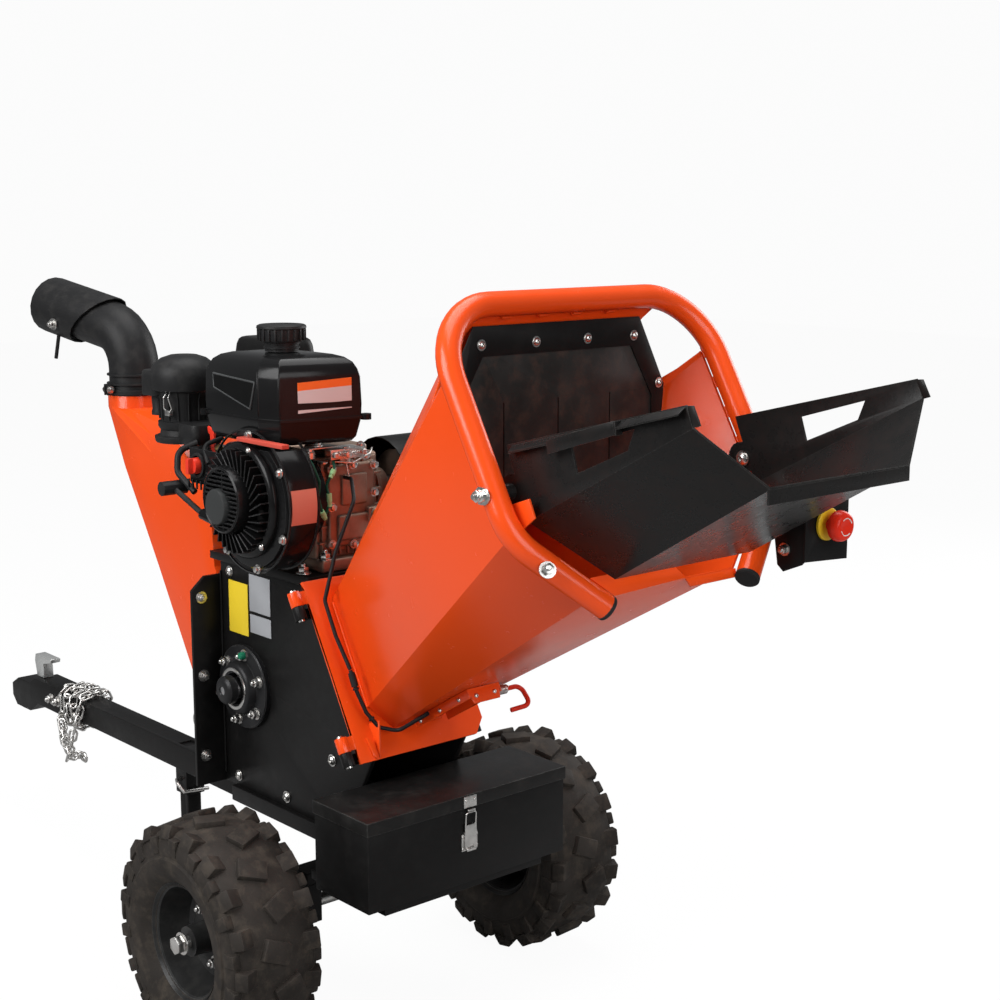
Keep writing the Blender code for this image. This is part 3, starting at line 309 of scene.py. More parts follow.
def turned(name, centre, axis, profile, sides=48, smooth=35.0):
    """A lathe job: (distance, radius) points spun about the axis, closed and facing out."""
    piece = trace(name, [(r, 0.0, d) for d, r in profile])
    bpy.ops.mesh.spin(steps=sides, angle=2.0 * math.pi, center=(0.0, 0.0, 0.0), axis=(0.0, 0.0, 1.0))
    bpy.ops.mesh.select_all(action="SELECT")
    bpy.ops.mesh.remove_doubles(threshold=0.00001)
    bpy.ops.mesh.normals_make_consistent(inside=False)
    bpy.ops.object.mode_set(mode="OBJECT")
    aim(piece, centre, axis)
    bpy.ops.object.shade_smooth_by_angle(angle=math.radians(smooth))
    return piece


def mirrored(profile):
    """The same profile read backwards on the other side of its middle."""
    return [(-d, r) for d, r in reversed(profile)]


def block(name, low, high, rim=0.0008, steps=2):
    """A rectangular piece between two corners with its edges rolled over."""
    bpy.ops.object.select_all(action="DESELECT")
    low, high = Vector(low), Vector(high)
    bpy.ops.mesh.primitive_cube_add(size=1.0, location=(low + high) / 2.0, scale=high - low)
    piece = bpy.context.object
    piece.name = name
    bpy.ops.object.transform_apply(location=True, rotation=True, scale=True)
    bpy.ops.object.mode_set(mode="EDIT")
    bpy.ops.mesh.select_all(action="SELECT")
    bpy.ops.mesh.bevel(offset=rim, segments=steps)
    bpy.ops.object.mode_set(mode="OBJECT")
    bpy.ops.object.shade_smooth_by_angle(angle=math.radians(35.0))
    return piece


def copy_to(piece, name, matrix):
    """A copy with its own mesh, moved by the matrix."""
    twin = piece.copy()
    twin.data = piece.data.copy()
    twin.name = name
    twin.data.transform(matrix)
    bpy.context.scene.collection.objects.link(twin)
    return twin


def join(name, pieces):
    bpy.ops.object.select_all(action="DESELECT")
    for piece in pieces:
        piece.select_set(True)
    bpy.context.view_layer.objects.active = pieces[0]
    bpy.ops.object.join()
    pieces[0].name = name
    pieces[0].data.name = name
    return pieces[0]


tread_rubber = coating("tread_rubber", (0.026, 0.022, 0.019), mottle=0.35, rough=(0.62, 0.85), grain=420.0,
                       depth=0.0005, edge=(0.075, 0.066, 0.056), edge_width=0.0016, dust=0.30,
                       dust_colour=(0.16, 0.13, 0.10), blotch=18.0)
rim_paint = coating("rim_paint", (0.020, 0.020, 0.020), mottle=0.1, rough=(0.26, 0.38),
                    depth=0.0001, edge=(0.10, 0.10, 0.10), dust=0.06)
axle_x, axle_height = 0.570, 0.178
tyre_crown = 0.1775
lug_count = 18
lug_angle = math.radians(24.0)
wheel_sides = (("left", -1.0), ("right", 1.0))
for side, sign in wheel_sides:
    low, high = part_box("tyre_" + side)
    centre = Vector(((low[0] + high[0]) / 2.0, (low[1] + high[1]) / 2.0, axle_height))
    half = (high[1] - low[1]) / 2.0
    sidewall = [(-half * d, r) for d, r in (
        (0.74, 0.0830), (0.80, 0.0900), (0.93, 0.1010), (0.985, 0.1180), (0.99, 0.1260),
        (0.955, 0.1290), (0.96, 0.1400), (0.90, 0.1530), (0.72, 0.1630), (0.35, 0.1678))]
    carcass = turned("tyre_" + side + "_tread", centre, (0, 1, 0),
                     sidewall + [(0.0, 0.1690)] + mirrored(sidewall) + sidewall[:1], sides=64)
    middle = block("lug", (-0.0150, -0.0215, 0.1640), (0.0150, 0.0215, tyre_crown - 0.0006), 0.0022)
    shoulder = block("lug_s", (-0.0135, half * 0.40, 0.1480), (0.0135, half * 0.90, tyre_crown - 0.0080),
                     0.0024)
    bpy.ops.object.mode_set(mode="EDIT")
    bpy.ops.mesh.select_all(action="SELECT")
    bpy.ops.transform.rotate(value=-lug_angle, orient_axis="X", center_override=(0.0, half * 0.70, 0.1600))
    bpy.ops.object.mode_set(mode="OBJECT")
    flank = block("lug_f", (-0.0095, half * 0.80, 0.1330), (0.0095, half * 0.985, 0.1585), 0.0022)
    lugs = []
    for i in range(lug_count):
        turn = Matrix.Rotation(2.0 * math.pi * i / lug_count, 4, "Y")
        hand = 1.0 if i % 2 else -1.0
        slew = Matrix.Rotation(hand * lug_angle, 4, "Z")
        offset = Matrix.Translation((0.0, half * 0.13 * hand, 0.0))
        lugs.append(copy_to(middle, "lug", Matrix.Translation(centre) @ turn @ offset @ slew))
        for half_turn in (0.0, 1.0):
            wide = Matrix.Rotation(math.pi * half_turn, 4, "Z")
            for pattern, lead in ((shoulder, half_turn), (flank, 1.0 - half_turn)):
                step = Matrix.Rotation(math.pi / lug_count * lead, 4, "Y")
                lugs.append(copy_to(pattern, "lug", Matrix.Translation(centre) @ turn @ step @ wide))
    for pattern in (middle, shoulder, flank):
        bpy.data.objects.remove(pattern, do_unlink=True)
    settle(join("tyre_" + side + "_tread", [carcass] + lugs), "wheel_" + side, tread_rubber, "tyre_rubber",
           "tyre_" + side)
    flange_lip = [(half * d, r) for d, r in (
        (0.73, 0.0826), (0.80, 0.0880), (0.775, 0.0885), (0.70, 0.0800), (0.45, 0.0745))]
    dish = turned("rim_" + side + "_disc", centre, (0, sign, 0), flange_lip + [
        (half * 0.30, 0.0700), (0.010, 0.0640), (0.006, 0.0560), (0.012, 0.0480), (0.016, 0.0360),
        (0.016, 0.0240), (0.050, 0.0220), (0.051, 0.0130), (0.051, 0.0103), (-0.051, 0.0103),
        (-0.051, 0.0220), (-0.006, 0.0240), (0.000, 0.0560), (0.004, 0.0680)] +
        mirrored(flange_lip) + flange_lip[:1])
    settle(dish, "wheel_" + side, rim_paint, "black_paint", "rim_" + side)


def nut(name, across=0.013, height=0.007, washer=0.0, stud=0.0):
    """A hexagon head at the origin facing +Z, on a washer, with its corners turned off."""
    bpy.ops.object.select_all(action="DESELECT")
    lift = 0.0012 if washer else 0.0
    bpy.ops.mesh.primitive_cylinder_add(vertices=6, radius=across / 2.0 / math.cos(math.pi / 6.0),
                                        depth=height, location=(0.0, 0.0, height / 2.0 + lift))
    head = bpy.context.object
    bpy.ops.object.transform_apply(location=True)
    bpy.ops.object.mode_set(mode="EDIT")
    bpy.ops.mesh.select_all(action="SELECT")
    bpy.ops.mesh.bevel(offset=across * 0.05, segments=2)
    bpy.ops.object.mode_set(mode="OBJECT")
    bpy.ops.object.shade_smooth_by_angle(angle=math.radians(35.0))
    parts = [head]
    if washer:
        parts.append(turned("w", (0, 0, 0), (0, 0, 1), [(0.0, 0.0), (0.0, washer), (0.0012, washer * 0.98),
                                                        (0.0014, 0.0)], sides=20))
    if stud:
        tall = height + lift
        parts.append(turned("s", (0, 0, 0), (0, 0, 1), [
            (tall * 0.5, 0.0), (tall * 0.5, across * 0.29), (tall + stud * 0.8, across * 0.29),
            (tall + stud, across * 0.22), (tall + stud, 0.0)], sides=16))
    return join(name, parts)


def dome(name, radius=0.006, height=0.0035, washer=0.0):
    """A button head with a socket, at the origin facing +Z."""
    lift = 0.0010 if washer else 0.0
    foot = [(0.0, 0.0), (0.0, washer), (0.0010, washer)] if washer else [(0.0, 0.0)]
    return turned(name, (0, 0, 0), (0, 0, 1), foot + [
        (lift, radius), (lift + height * 0.45, radius * 0.96), (lift + height * 0.85, radius * 0.72),
        (lift + height, radius * 0.42), (lift + height * 0.55, radius * 0.36), (lift + height * 0.5, 0.0)],
        sides=20)


bright_steel = coating("bright_steel", (0.62, 0.61, 0.59), mottle=0.15, rough=(0.20, 0.38), grain=500.0,
                       metal=1.0, dust=0.10, blotch=80.0)


def fixings(name, pattern, spots, body="chassis", material=bright_steel, slot="zinc"):
    """Copies of one bolt at (place, direction) spots, joined and fixed to a body."""
    copies = []
    for k, (place, way) in enumerate(spots):
        turn = Vector(way).to_track_quat("Z", "Y").to_matrix().to_4x4()
        spin_by = Matrix.Rotation(0.7 * k, 4, "Z")
        copies.append(copy_to(pattern, name, Matrix.Translation(Vector(place)) @ turn @ spin_by))
    bpy.data.objects.remove(pattern, do_unlink=True)
    return settle(join(name, copies), body, material, slot)


for side, sign in wheel_sides:
    face = sign * (0.295 + 0.0162)
    fixings("wheel_bolts_" + side, nut("n", 0.013, 0.007, 0.010, 0.004),
            [((axle_x + 0.040 * math.cos(a), face, axle_height + 0.040 * math.sin(a)), (0, sign, 0))
             for a in [math.pi / 2.0 * k + 0.4 for k in range(4)]], "wheel_" + side)
    fixings("axle_nut_" + side, nut("n", 0.024, 0.012, 0.017),
            [((axle_x, sign * 0.3552, axle_height), (0, sign, 0))])


# ------------------------------------------------------------------ hopper
# Folded steel sheet in gloss orange, narrowing from the mouth to a hinged flange.
# A bent tube frames the mouth, and rubber plugs close the tube's two ends.
down = Vector((0.5, 0.0, -math.sqrt(0.75)))
outward = Vector((math.sqrt(0.75), 0.0, 0.5))


def at_mouth(y, d, h=0.0):
    """A point on the leaning mouth: d down from the top tube, h out toward the user."""
    return Vector((0.994, y, 1.103)) + down * d + outward * h


def at_flange(y, d, h=0.0):
    """A point on the leaning housing flange: d down from its top, h out toward the hopper."""
    return Vector((0.542, y, 0.668)) + down * d + outward * h


def rounded(points, radii, steps=8):
    """The line through the points with each inner corner replaced by an arc."""
    line = [Vector(points[0])]
    for k in range(1, len(points) - 1):
        here = Vector(points[k])
        back = (Vector(points[k - 1]) - here).normalized()
        ahead = (Vector(points[k + 1]) - here).normalized()
        half_angle = back.angle(ahead) / 2.0
        radius = radii[k - 1]
        middle = here + (back + ahead).normalized() * radius / math.sin(half_angle)
        first = here + back * radius / math.tan(half_angle) - middle
        last = here + ahead * radius / math.tan(half_angle) - middle
        for i in range(steps + 1):
            full = first.angle(last)
            line.append(middle + (first * math.sin((1 - i / steps) * full) +
                                  last * math.sin(i / steps * full)) / math.sin(full))
    line.append(Vector(points[-1]))
    return line


def bent_rod(name, line, radius, resolution=5):
    """A round bar or tube along a line, closed at both ends."""
    bpy.ops.object.select_all(action="DESELECT")
    bpy.ops.curve.primitive_bezier_curve_add(location=(0.0, 0.0, 0.0))
    rod = bpy.context.object
    rod.name = name
    rod.data.splines.clear()
    run = rod.data.splines.new("POLY")
    run.points.add(len(line) - 1)
    for point, place in zip(run.points, line):
        point.co = (*place, 1.0)
    rod.data.dimensions = "3D"
    rod.data.bevel_depth = radius
    rod.data.bevel_resolution = resolution
    rod.data.use_fill_caps = True
    bpy.ops.object.convert(target="MESH")
    piece = bpy.context.object
    bpy.ops.object.mode_set(mode="EDIT")
    bpy.ops.mesh.select_all(action="SELECT")
    bpy.ops.mesh.remove_doubles(threshold=0.00001)
    bpy.ops.mesh.normals_make_consistent(inside=False)
    bpy.ops.object.mode_set(mode="OBJECT")
    bpy.ops.object.shade_smooth_by_angle(angle=math.radians(50.0))
    return piece


def plate(name, outline, push, rim=0.0004):
    """A flat plate: its outline drawn, filled and pushed to its thickness, with rolled edges."""
    piece = trace(name, list(outline) + [outline[0]])
    bpy.ops.mesh.remove_doubles(threshold=0.00001)
    bpy.ops.mesh.select_all(action="SELECT")
    bpy.ops.mesh.edge_face_add()
    bpy.ops.mesh.extrude_region_move(TRANSFORM_OT_translate={"value": push})
    bpy.ops.mesh.select_all(action="SELECT")
    bpy.ops.mesh.normals_make_consistent(inside=False)
    bpy.ops.object.mode_set(mode="OBJECT")
    if rim:
        roll = piece.modifiers.new("roll", "BEVEL")
        roll.width = rim
        roll.segments = 2
        roll.angle_limit = math.radians(50.0)
        bpy.ops.object.modifier_apply(modifier="roll")
    bpy.ops.object.shade_smooth_by_angle(angle=math.radians(35.0))
    return piece


orange_coat = coating("orange_coat", (0.80, 0.072, 0.0070), mottle=0.020, rough=(0.20, 0.28), grain=480.0,
                      depth=0.00005, edge=(0.92, 0.19, 0.045), edge_width=0.0008, blotch=3.0, sheen=0.35)
dress("hopper_shell", "hopper", orange_coat, "orange_paint", 0.0006)

half_wide, tube_bend = 0.235, 0.303
end_half, tube_foot = 0.128, 0.405
tube_line = rounded([at_mouth(-end_half, tube_foot), at_mouth(-half_wide, tube_bend),
                     at_mouth(-half_wide, 0.0), at_mouth(half_wide, 0.0), at_mouth(half_wide, tube_bend),
                     at_mouth(end_half, tube_foot)],
                    [0.080, 0.098, 0.098, 0.080], steps=14)
settle(bent_rod("mouth_tube", tube_line, 0.0160, 8), "hopper", orange_coat, "orange_paint", "mouth_frame")

plug_rubber = coating("plug_rubber", (0.016, 0.016, 0.016), mottle=0.2, rough=(0.55, 0.75), grain=1400.0,
                      depth=0.0001, edge=(0.05, 0.05, 0.05), dust=0.05)
plugs = []
for sign in (-1.0, 1.0):
    end = at_mouth(sign * end_half, tube_foot)
    way = (end - at_mouth(sign * half_wide, tube_bend)).normalized()
    plugs.append(turned("plug", end - way * 0.0008, way, [
        (0.0, 0.0), (0.0, 0.0155), (0.0006, 0.0164), (0.0040, 0.0164), (0.0056, 0.0150), (0.0060, 0.0)],
        sides=32))
settle(join("tube_plugs", plugs), "hopper", plug_rubber, "lead_sheath")

# The sheet's folded lip under the mouth, its stiffening strip and the weld tacks
# that hold the tube. All are part of the painted weldment.
lip = plate("mouth_lip", [at_mouth(-0.127, 0.364, -0.012), at_mouth(0.012, 0.364, -0.012),
                          at_mouth(0.030, 0.388, -0.012), at_mouth(-0.098, 0.392, -0.012)], outward * 0.0030)
strip = plate("lip_strip", [at_mouth(0.030, 0.3885, -0.0130), at_mouth(0.124, 0.3885, -0.0130),
                            at_mouth(0.121, 0.4000, -0.0130), at_mouth(0.034, 0.4000, -0.0130)],
              outward * 0.0025)
welds = []
for y in (-0.112, -0.050, 0.010, 0.072):
    welds.append(bent_rod("tack", [at_mouth(y, 0.0130, -0.0130), at_mouth(y + 0.014, 0.0130, -0.0130)],
                          0.0022, 2))
for sign in (-1.0, 1.0):
    for k in range(6):
        d, y = 0.075 + 0.045 * k, sign * 0.2265
        welds.append(bent_rod("tack", [at_mouth(y, d, -0.0145), at_mouth(y, d + 0.016, -0.0145)], 0.0020, 2))
settle(join("mouth_weldment", [lip, strip] + welds), "hopper", orange_coat, "orange_paint")

fixings("mouth_bolts", nut("n", 0.0125, 0.0065, 0.0105, 0.004),
        [(at_mouth(sign * (half_wide + (0.0160 if d < 0.3 else -0.026)), d, 0.0 if d < 0.3 else 0.0140),
          (0.0, sign, 0.0) if d < 0.3 else outward + Vector((0.0, sign * 0.5, 0.0)))
         for sign in (-1.0, 1.0) for d in (0.246, 0.350)], "hopper")

# The hinge flange is a heavier plate with a bent-up rib at its foot, and two
# painted knuckles turn on steel pins with the housing's own knuckles.
flange = bench_copy("hopper_flange", 0.0007)
rib = plate("rib", [at_flange(-0.100, 0.2490, 0.0062), at_flange(-0.097, 0.2770, 0.0062),
                    at_flange(-0.092, 0.2830, 0.0062), at_flange(-0.088, 0.2560, 0.0062)],
            outward * 0.004)
fillets = [bent_rod("bead", [at_flange(s * 0.0795, 0.040, 0.0085), at_flange(s * 0.0795, 0.205, 0.0085)],
                    0.0022, 3) for s in (-1.0, 1.0)]
fillets.append(bent_rod("bead", [at_flange(-0.045, 0.2455, 0.0080), at_flange(0.045, 0.2455, 0.0080)],
                        0.0022, 3))
gusset = plate("gusset", [at_flange(-0.086, 0.2290, 0.0062), at_flange(-0.086, 0.2830, 0.0062),
                          at_flange(-0.084, 0.2420, 0.0250), at_flange(-0.082, 0.2320, 0.0280)],
               Vector((0.0, 0.0028, 0.0)))
settle(join("hinge_flange", [flange, rib, gusset] + fillets), "hopper", orange_coat, "orange_paint",
       "hopper_flange")
pins = []
for d in (0.0125, 0.2395):
    for way, place in ((1.0, d + 0.0435), (-1.0, d - 0.0002)):
        pins.append(turned("pin", at_flange(-0.137, place), down * way, [
            (0.0, 0.0), (0.0, 0.0052), (0.0024, 0.0048), (0.0034, 0.0)], sides=20))
settle(join("hinge_pin_ends", pins), "chassis", bright_steel, "zinc")

# ------------------------------------------------------------------ infeed curtain
# Black sheet frame screwed in the mouth with domed steel screws, and a slit
# rubber flap behind it, smudged with handling and sap.
dress("curtain_frame", "hopper", black_coat, "black_paint", 0.0003)
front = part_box("curtain_frame")[1][0]
fixings("curtain_screws", dome("d", 0.0052, 0.0034, 0.0072),
        [((front, y, z), (1, 0, 0)) for y, z in (
            (-0.135, 1.051), (-0.042, 1.0505), (0.050, 1.0500), (0.137, 1.0495), (0.187, 0.982),
            (-0.187, 0.982))], "hopper")
smudged_rubber = coating("smudged_rubber", (0.020, 0.019, 0.018), mottle=0.5, rough=(0.30, 0.55), grain=800.0,
                         depth=0.0002, edge=(0.05, 0.045, 0.04), dust=0.35, dust_colour=(0.12, 0.055, 0.035),
                         blotch=14.0)
dress("rubber_curtain", "curtain", smudged_rubber, "curtain_rubber", 0.0004)


# ------------------------------------------------------------------ infeed table
# One folded black sheet: a floor, two flared sides with hand slots, top edges turned
# out and down, and a front lip. It turns on shoulder bolts in the mouth frame.
table_coat = coating("table_coat", (0.0105, 0.0100, 0.0098), mottle=0.2, rough=(0.22, 0.36),
                     edge=(0.11, 0.11, 0.105), edge_width=0.0009, dust=0.05,
                     dust_colour=(0.10, 0.035, 0.02))
trough = bench_copy("infeed_table", 0.0005)
wall = 0.205
thin = 0.0022
pivot_z = 0.890
guard_y = -wall - 0.0125
folds = []
for sign in (-1.0, 1.0):
    fold_y = sign * (wall - 0.0010)
    low_in = Vector((1.105, fold_y, 0.9445))
    high_in = Vector((1.389, fold_y, 1.0170))
    reach = Vector((0.0, sign * 0.0120, -0.0075))
    folds.append(plate("top_fold", [low_in + Vector((0.008, 0, 0.001)), high_in, high_in + reach,
                                    low_in + reach + Vector((0.014, 0, 0.002))], Vector((0.0, 0.0, -thin))))
    tip_low = Vector((1.4005, sign * (wall - 0.0006), 0.9945))
    folds.append(plate("tip_fold", [high_in, tip_low, tip_low + Vector((0.0095, 0.0, 0.0030)),
                                    high_in + Vector((0.0100, 0.0, 0.0010))],
                       Vector((0.0, -sign * thin, 0.0))))
grip_low = Vector((1.186, guard_y, 0.9600))
grip_high = Vector((1.294, guard_y, 0.9930))
drop = Vector((0.003, 0.0, -0.0155))
folds.append(plate("slot_guard", [grip_low, grip_high, grip_high + drop, grip_low + drop],
                   Vector((0.0, thin, 0.0))))
end_low = Vector((1.2945, guard_y, 0.9928))
inward = Vector((0.0, 0.0105, 0.0))
folds.append(plate("guard_end", [end_low, end_low + drop, end_low + drop + inward, end_low + inward],
                   Vector((0.0016, 0.0, 0.0))))
settle(join("trough", [trough] + folds), "table", table_coat, "black_paint", "infeed_table")
fixings("table_pivots", nut("n", 0.0135, 0.0075, 0.0110, 0.005),
        [((1.112, sign * 0.2512, pivot_z), (0, sign, 0)) for sign in (-1.0, 1.0)], "hopper")
fixings("table_pivot_heads", dome("d", 0.0085, 0.0050, 0.0110),
        [((1.120, -sign * 0.2016, pivot_z), (0, sign, 0)) for sign in (-1.0, 1.0)], "table")
stops = []
for sign in (-1.0, 1.0):
    corners = [at_mouth(sign * 0.216, d, h) for d, h in (
        (0.262, 0.004), (0.296, 0.004), (0.292, 0.034), (0.268, 0.036))]
    stops.append(plate("fold_stop", corners, Vector((0.0, sign * 0.0030, 0.0))))
settle(join("table_stops", stops), "hopper", orange_coat, "orange_paint")

# ------------------------------------------------------------------ stop switch
# A red mushroom button in a yellow collar on a folded black bracket, screwed to
# the mouth tube. Its contact block is behind, two plain curved grip marks in front.
bracket = bench_copy("stop_bracket", 0.0004)
back_box = block("contact_block", (1.222, 0.1925, 0.800), (1.2515, 0.2275, 0.840), 0.002)
wing = plate("wing", [(x, 0.1720, z) for x, z in (
    (1.2530, 0.8540), (1.2530, 0.7745), (1.2480, 0.7690), (1.2180, 0.7560), (1.2080, 0.7640),
    (1.1970, 0.8340))], Vector((0.0, 0.0025, 0.0)))
settle(join("switch_bracket", [bracket, back_box, wing]), "hopper", black_coat, "black_paint", "stop_bracket")
fixings("bracket_bolts", nut("n", 0.011, 0.006, 0.0090, 0.003),
        [((1.168, 0.2566, 0.824), (0, 1, 0)), ((1.128, 0.2566, 0.874), (0, 1, 0)),
         ((1.2085, 0.1718, 0.8200), (0, -1, 0)), ((1.2200, 0.1718, 0.7860), (0, -1, 0))],
        "hopper")
yellow_ring = coating("yellow_ring", (0.80, 0.50, 0.02), mottle=0.05, rough=(0.28, 0.40), depth=0.00005,
                      dust=0.04)
red_button = coating("red_button", (0.78, 0.030, 0.012), mottle=0.04, rough=(0.20, 0.30), grain=800.0,
                     depth=0.00003)
button_low, button_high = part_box("stop_button")
button_y = (button_low[1] + button_high[1]) / 2.0
button_z = (button_low[2] + button_high[2]) / 2.0
nose = button_high[0]
collar = turned("switch_collar", (1.240, button_y, button_z), (1, 0, 0), [
    (0.0, 0.0078), (0.0, 0.0109), (0.0153, 0.0109), (0.0153, 0.0200), (0.0170, 0.0215), (0.0200, 0.0213),
    (0.0212, 0.0195), (0.0212, 0.0078), (0.0, 0.0078)], sides=40)
settle(collar, "hopper", yellow_ring, "yellow_plastic", "stop_collar")
mushroom = turned("mushroom", (nose, button_y, button_z), (1, 0, 0), [
    (-0.0445, 0.0), (-0.0445, 0.0072), (-0.0190, 0.0074), (-0.0185, 0.0150), (-0.0165, 0.0190),
    (-0.0130, 0.0203), (-0.0100, 0.0203), (-0.0060, 0.0196), (-0.0025, 0.0178), (-0.0006, 0.0150),
    (0.0, 0.0120), (-0.0008, 0.0100), (-0.0012, 0.0)])
settle(mushroom, "stop", red_button, "red_plastic", "stop_button")
grip_white = coating("grip_white", (0.75, 0.72, 0.68), mottle=0.03, rough=(0.4, 0.5), grain=700.0,
                     depth=0.00002)
marks = []
for begin in (0.35, 0.35 + math.pi):
    arc_line = [(nose - 0.0006, button_y + 0.0112 * math.cos(a), button_z + 0.0112 * math.sin(a))
                for a in [begin + 1.9 * i / 10.0 for i in range(11)]]
    marks.append(bent_rod("mark", arc_line, 0.0008, 2))
settle(join("grip_marks", marks), "stop", grip_white, "red_plastic")

# ------------------------------------------------------------------ hopper latch
# A small orange channel riveted under the hopper, a red wire grip that pulls its
# spring pin, and the pin's spring.
fall = (at_mouth(0.0, 0.388, -0.004) - at_flange(0.0, 0.244, 0.0065)).normalized()
under_way = Vector((fall.z, 0.0, -fall.x))


def under_floor(y, along, drop_by):
    """A point below the hopper floor: along from the flange, drop_by away from the sheet."""
    here = at_flange(0.0, 0.244, 0.0065) + fall * along + under_way * drop_by
    return Vector((here.x, y, here.z))


channel = bench_copy("latch_bracket", 0.0005)
tab = plate("tab", [under_floor(y, 0.172, d) for y, d in (
    (-0.030, 0.0005), (0.030, 0.0005), (0.024, 0.0225), (-0.024, 0.0225))], fall * 0.0025)
settle(join("latch_channel", [channel, tab]), "hopper", orange_coat, "orange_paint", "latch_bracket")
fixings("latch_rivets", dome("d", 0.0034, 0.0022),
        [(under_floor(-0.0302, along, 0.0080), (0, -1, 0)) for along in (0.048, 0.100, 0.150)] +
        [(under_floor(y, 0.1746, 0.0120), fall) for y in (-0.017, 0.017)], "hopper")
grip_line = rounded([under_floor(0.012, 0.158, 0.010), under_floor(0.080, 0.158, 0.010),
                     under_floor(0.080, 0.166, 0.042), under_floor(0.048, 0.158, 0.042)], [0.012, 0.010])
red_dip = coating("red_dip", (0.62, 0.030, 0.012), mottle=0.08, rough=(0.28, 0.42), grain=600.0,
                  depth=0.00008)
settle(bent_rod("grip_wire", grip_line, 0.0036, 4), "hopper_catch", red_dip, "red_plastic", "latch_handle")
coil = []
for i in range(97):
    angle = i * 2.0 * math.pi / 12.0
    coil.append(under_floor(0.0325 + 0.020 * i / 96.0, 0.158 + 0.0062 * math.cos(angle),
                            0.010 + 0.0062 * math.sin(angle)))
settle(bent_rod("catch_spring", coil, 0.0008, 2), "hopper_catch", bright_steel, "zinc")


# ------------------------------------------------------------------ fuel tank
# Glossy moulded tank with a pinched seam all round, rounded shoulders and a
# framed flat on its left face. It is bolted down on the engine by its seam.
def stacked(name, outline, levels, centre):
    """A moulding built up in sections: each level is (height, grow in x, grow in y) about the centre."""
    low = levels[0]
    ring = [(centre[0] + (x - centre[0]) * low[1], centre[1] + (y - centre[1]) * low[2], low[0])
            for x, y in outline]
    piece = trace(name, ring + [ring[0]])
    bpy.ops.mesh.remove_doubles(threshold=0.00001)
    bpy.ops.mesh.select_all(action="SELECT")
    bpy.ops.mesh.edge_face_add()
    for before, here in zip(levels, levels[1:]):
        bpy.ops.mesh.extrude_region_move(TRANSFORM_OT_translate={"value": (0.0, 0.0, here[0] - before[0])})
        bpy.ops.transform.resize(value=(here[1] / before[1], here[2] / before[2], 1.0),
                                 center_override=(centre[0], centre[1], here[0]))
    bpy.ops.mesh.select_all(action="SELECT")
    bpy.ops.mesh.normals_make_consistent(inside=False)
    bpy.ops.object.mode_set(mode="OBJECT")
    bpy.ops.object.shade_smooth_by_angle(angle=math.radians(42.0))
    return piece


def round_ring(corners, radius, steps=5):
    """A closed plan outline with every corner rounded."""
    points = []
    count = len(corners)
    for k in range(count):
        here = Vector((*corners[k], 0.0))
        back = (Vector((*corners[k - 1], 0.0)) - here).normalized()
        ahead = (Vector((*corners[(k + 1) % count], 0.0)) - here).normalized()
        half = back.angle(ahead) / 2.0
        middle = here + (back + ahead).normalized() * radius / math.sin(half)
        first = here + back * radius / math.tan(half) - middle
        last = here + ahead * radius / math.tan(half) - middle
        full = first.angle(last)
        for i in range(steps + 1):
            spoke = (first * math.sin((1 - i / steps) * full) +
                     last * math.sin(i / steps * full)) / math.sin(full)
            points.append(((middle + spoke).x, (middle + spoke).y))
    return points


tank_gloss = coating("tank_gloss", (0.0085, 0.0085, 0.0088), mottle=0.08, rough=(0.10, 0.20), grain=700.0,
                     depth=0.00004, edge=(0.03, 0.03, 0.03), edge_width=0.0012)
tank_plan = round_ring([(0.338, -0.150), (0.485, -0.150), (0.5230, -0.137), (0.5515, -0.008),
                        (0.5440, -0.004), (0.338, -0.004)], 0.0035, 4)
tank = stacked("tank", tank_plan, [
    (0.8710, 0.80, 0.78), (0.8735, 0.87, 0.87), (0.8800, 0.925, 0.925), (0.9050, 0.985, 0.985),
    (0.9075, 0.990, 0.990), (0.9080, 1.018, 1.020), (0.9115, 1.018, 1.020), (0.9120, 0.993, 0.993),
    (0.9300, 1.0, 1.0), (0.9700, 0.985, 0.985), (0.9820, 0.955, 0.950), (0.9920, 0.900, 0.885),
    (0.9990, 0.80, 0.78), (1.0030, 0.66, 0.62), (1.0045, 0.45, 0.42)], (0.445, -0.077))
lug = turned("lug", (0.5500, 0.0005, 0.909), (0, 0, 1), [
    (-0.004, 0.003), (-0.004, 0.008), (0.005, 0.008), (0.005, 0.003), (-0.004, 0.003)], sides=18)
lug_2 = turned("lug", (0.3370, -0.150, 0.909), (0, 0, 1), [
    (-0.004, 0.003), (-0.004, 0.007), (0.005, 0.007), (0.005, 0.003), (-0.004, 0.003)], sides=18)
frame_line = [(0.366, -0.1505, 0.971), (0.478, -0.1495, 0.965), (0.467, -0.1512, 0.925),
              (0.368, -0.1512, 0.950)]
framing = bent_rod("framing", frame_line + frame_line[:2], 0.0017, 3)
ribs = [bent_rod("rib", [(x, y, 0.916), (x, y, 0.935), (x - 0.0012, y + 0.0010, 0.970),
                         (x - 0.006, y + 0.0045, 0.981)], 0.0020, 3)
        for x, y in ((0.4850, -0.1490), (0.5215, -0.1362))]
crown = [bent_rod("crown", [(0.372 + 0.02 * k, -0.040, 1.0005), (0.372 + 0.02 * k, -0.020, 0.9990)],
                  0.0018, 3)
         for k in range(3)]
settle(join("tank_moulding", [tank, lug, lug_2] + ribs + crown), "chassis", tank_gloss, "tank_plastic",
       "fuel_tank")
frame_grey = coating("frame_grey", (0.055, 0.057, 0.058), mottle=0.08, rough=(0.25, 0.35),
                     depth=0.00004)
settle(framing, "chassis", frame_grey, "tank_plastic")
inlay_black = coating("inlay_black", (0.003, 0.003, 0.003), mottle=0.1, rough=(0.30, 0.40), grain=300.0,
                      depth=0.00002)
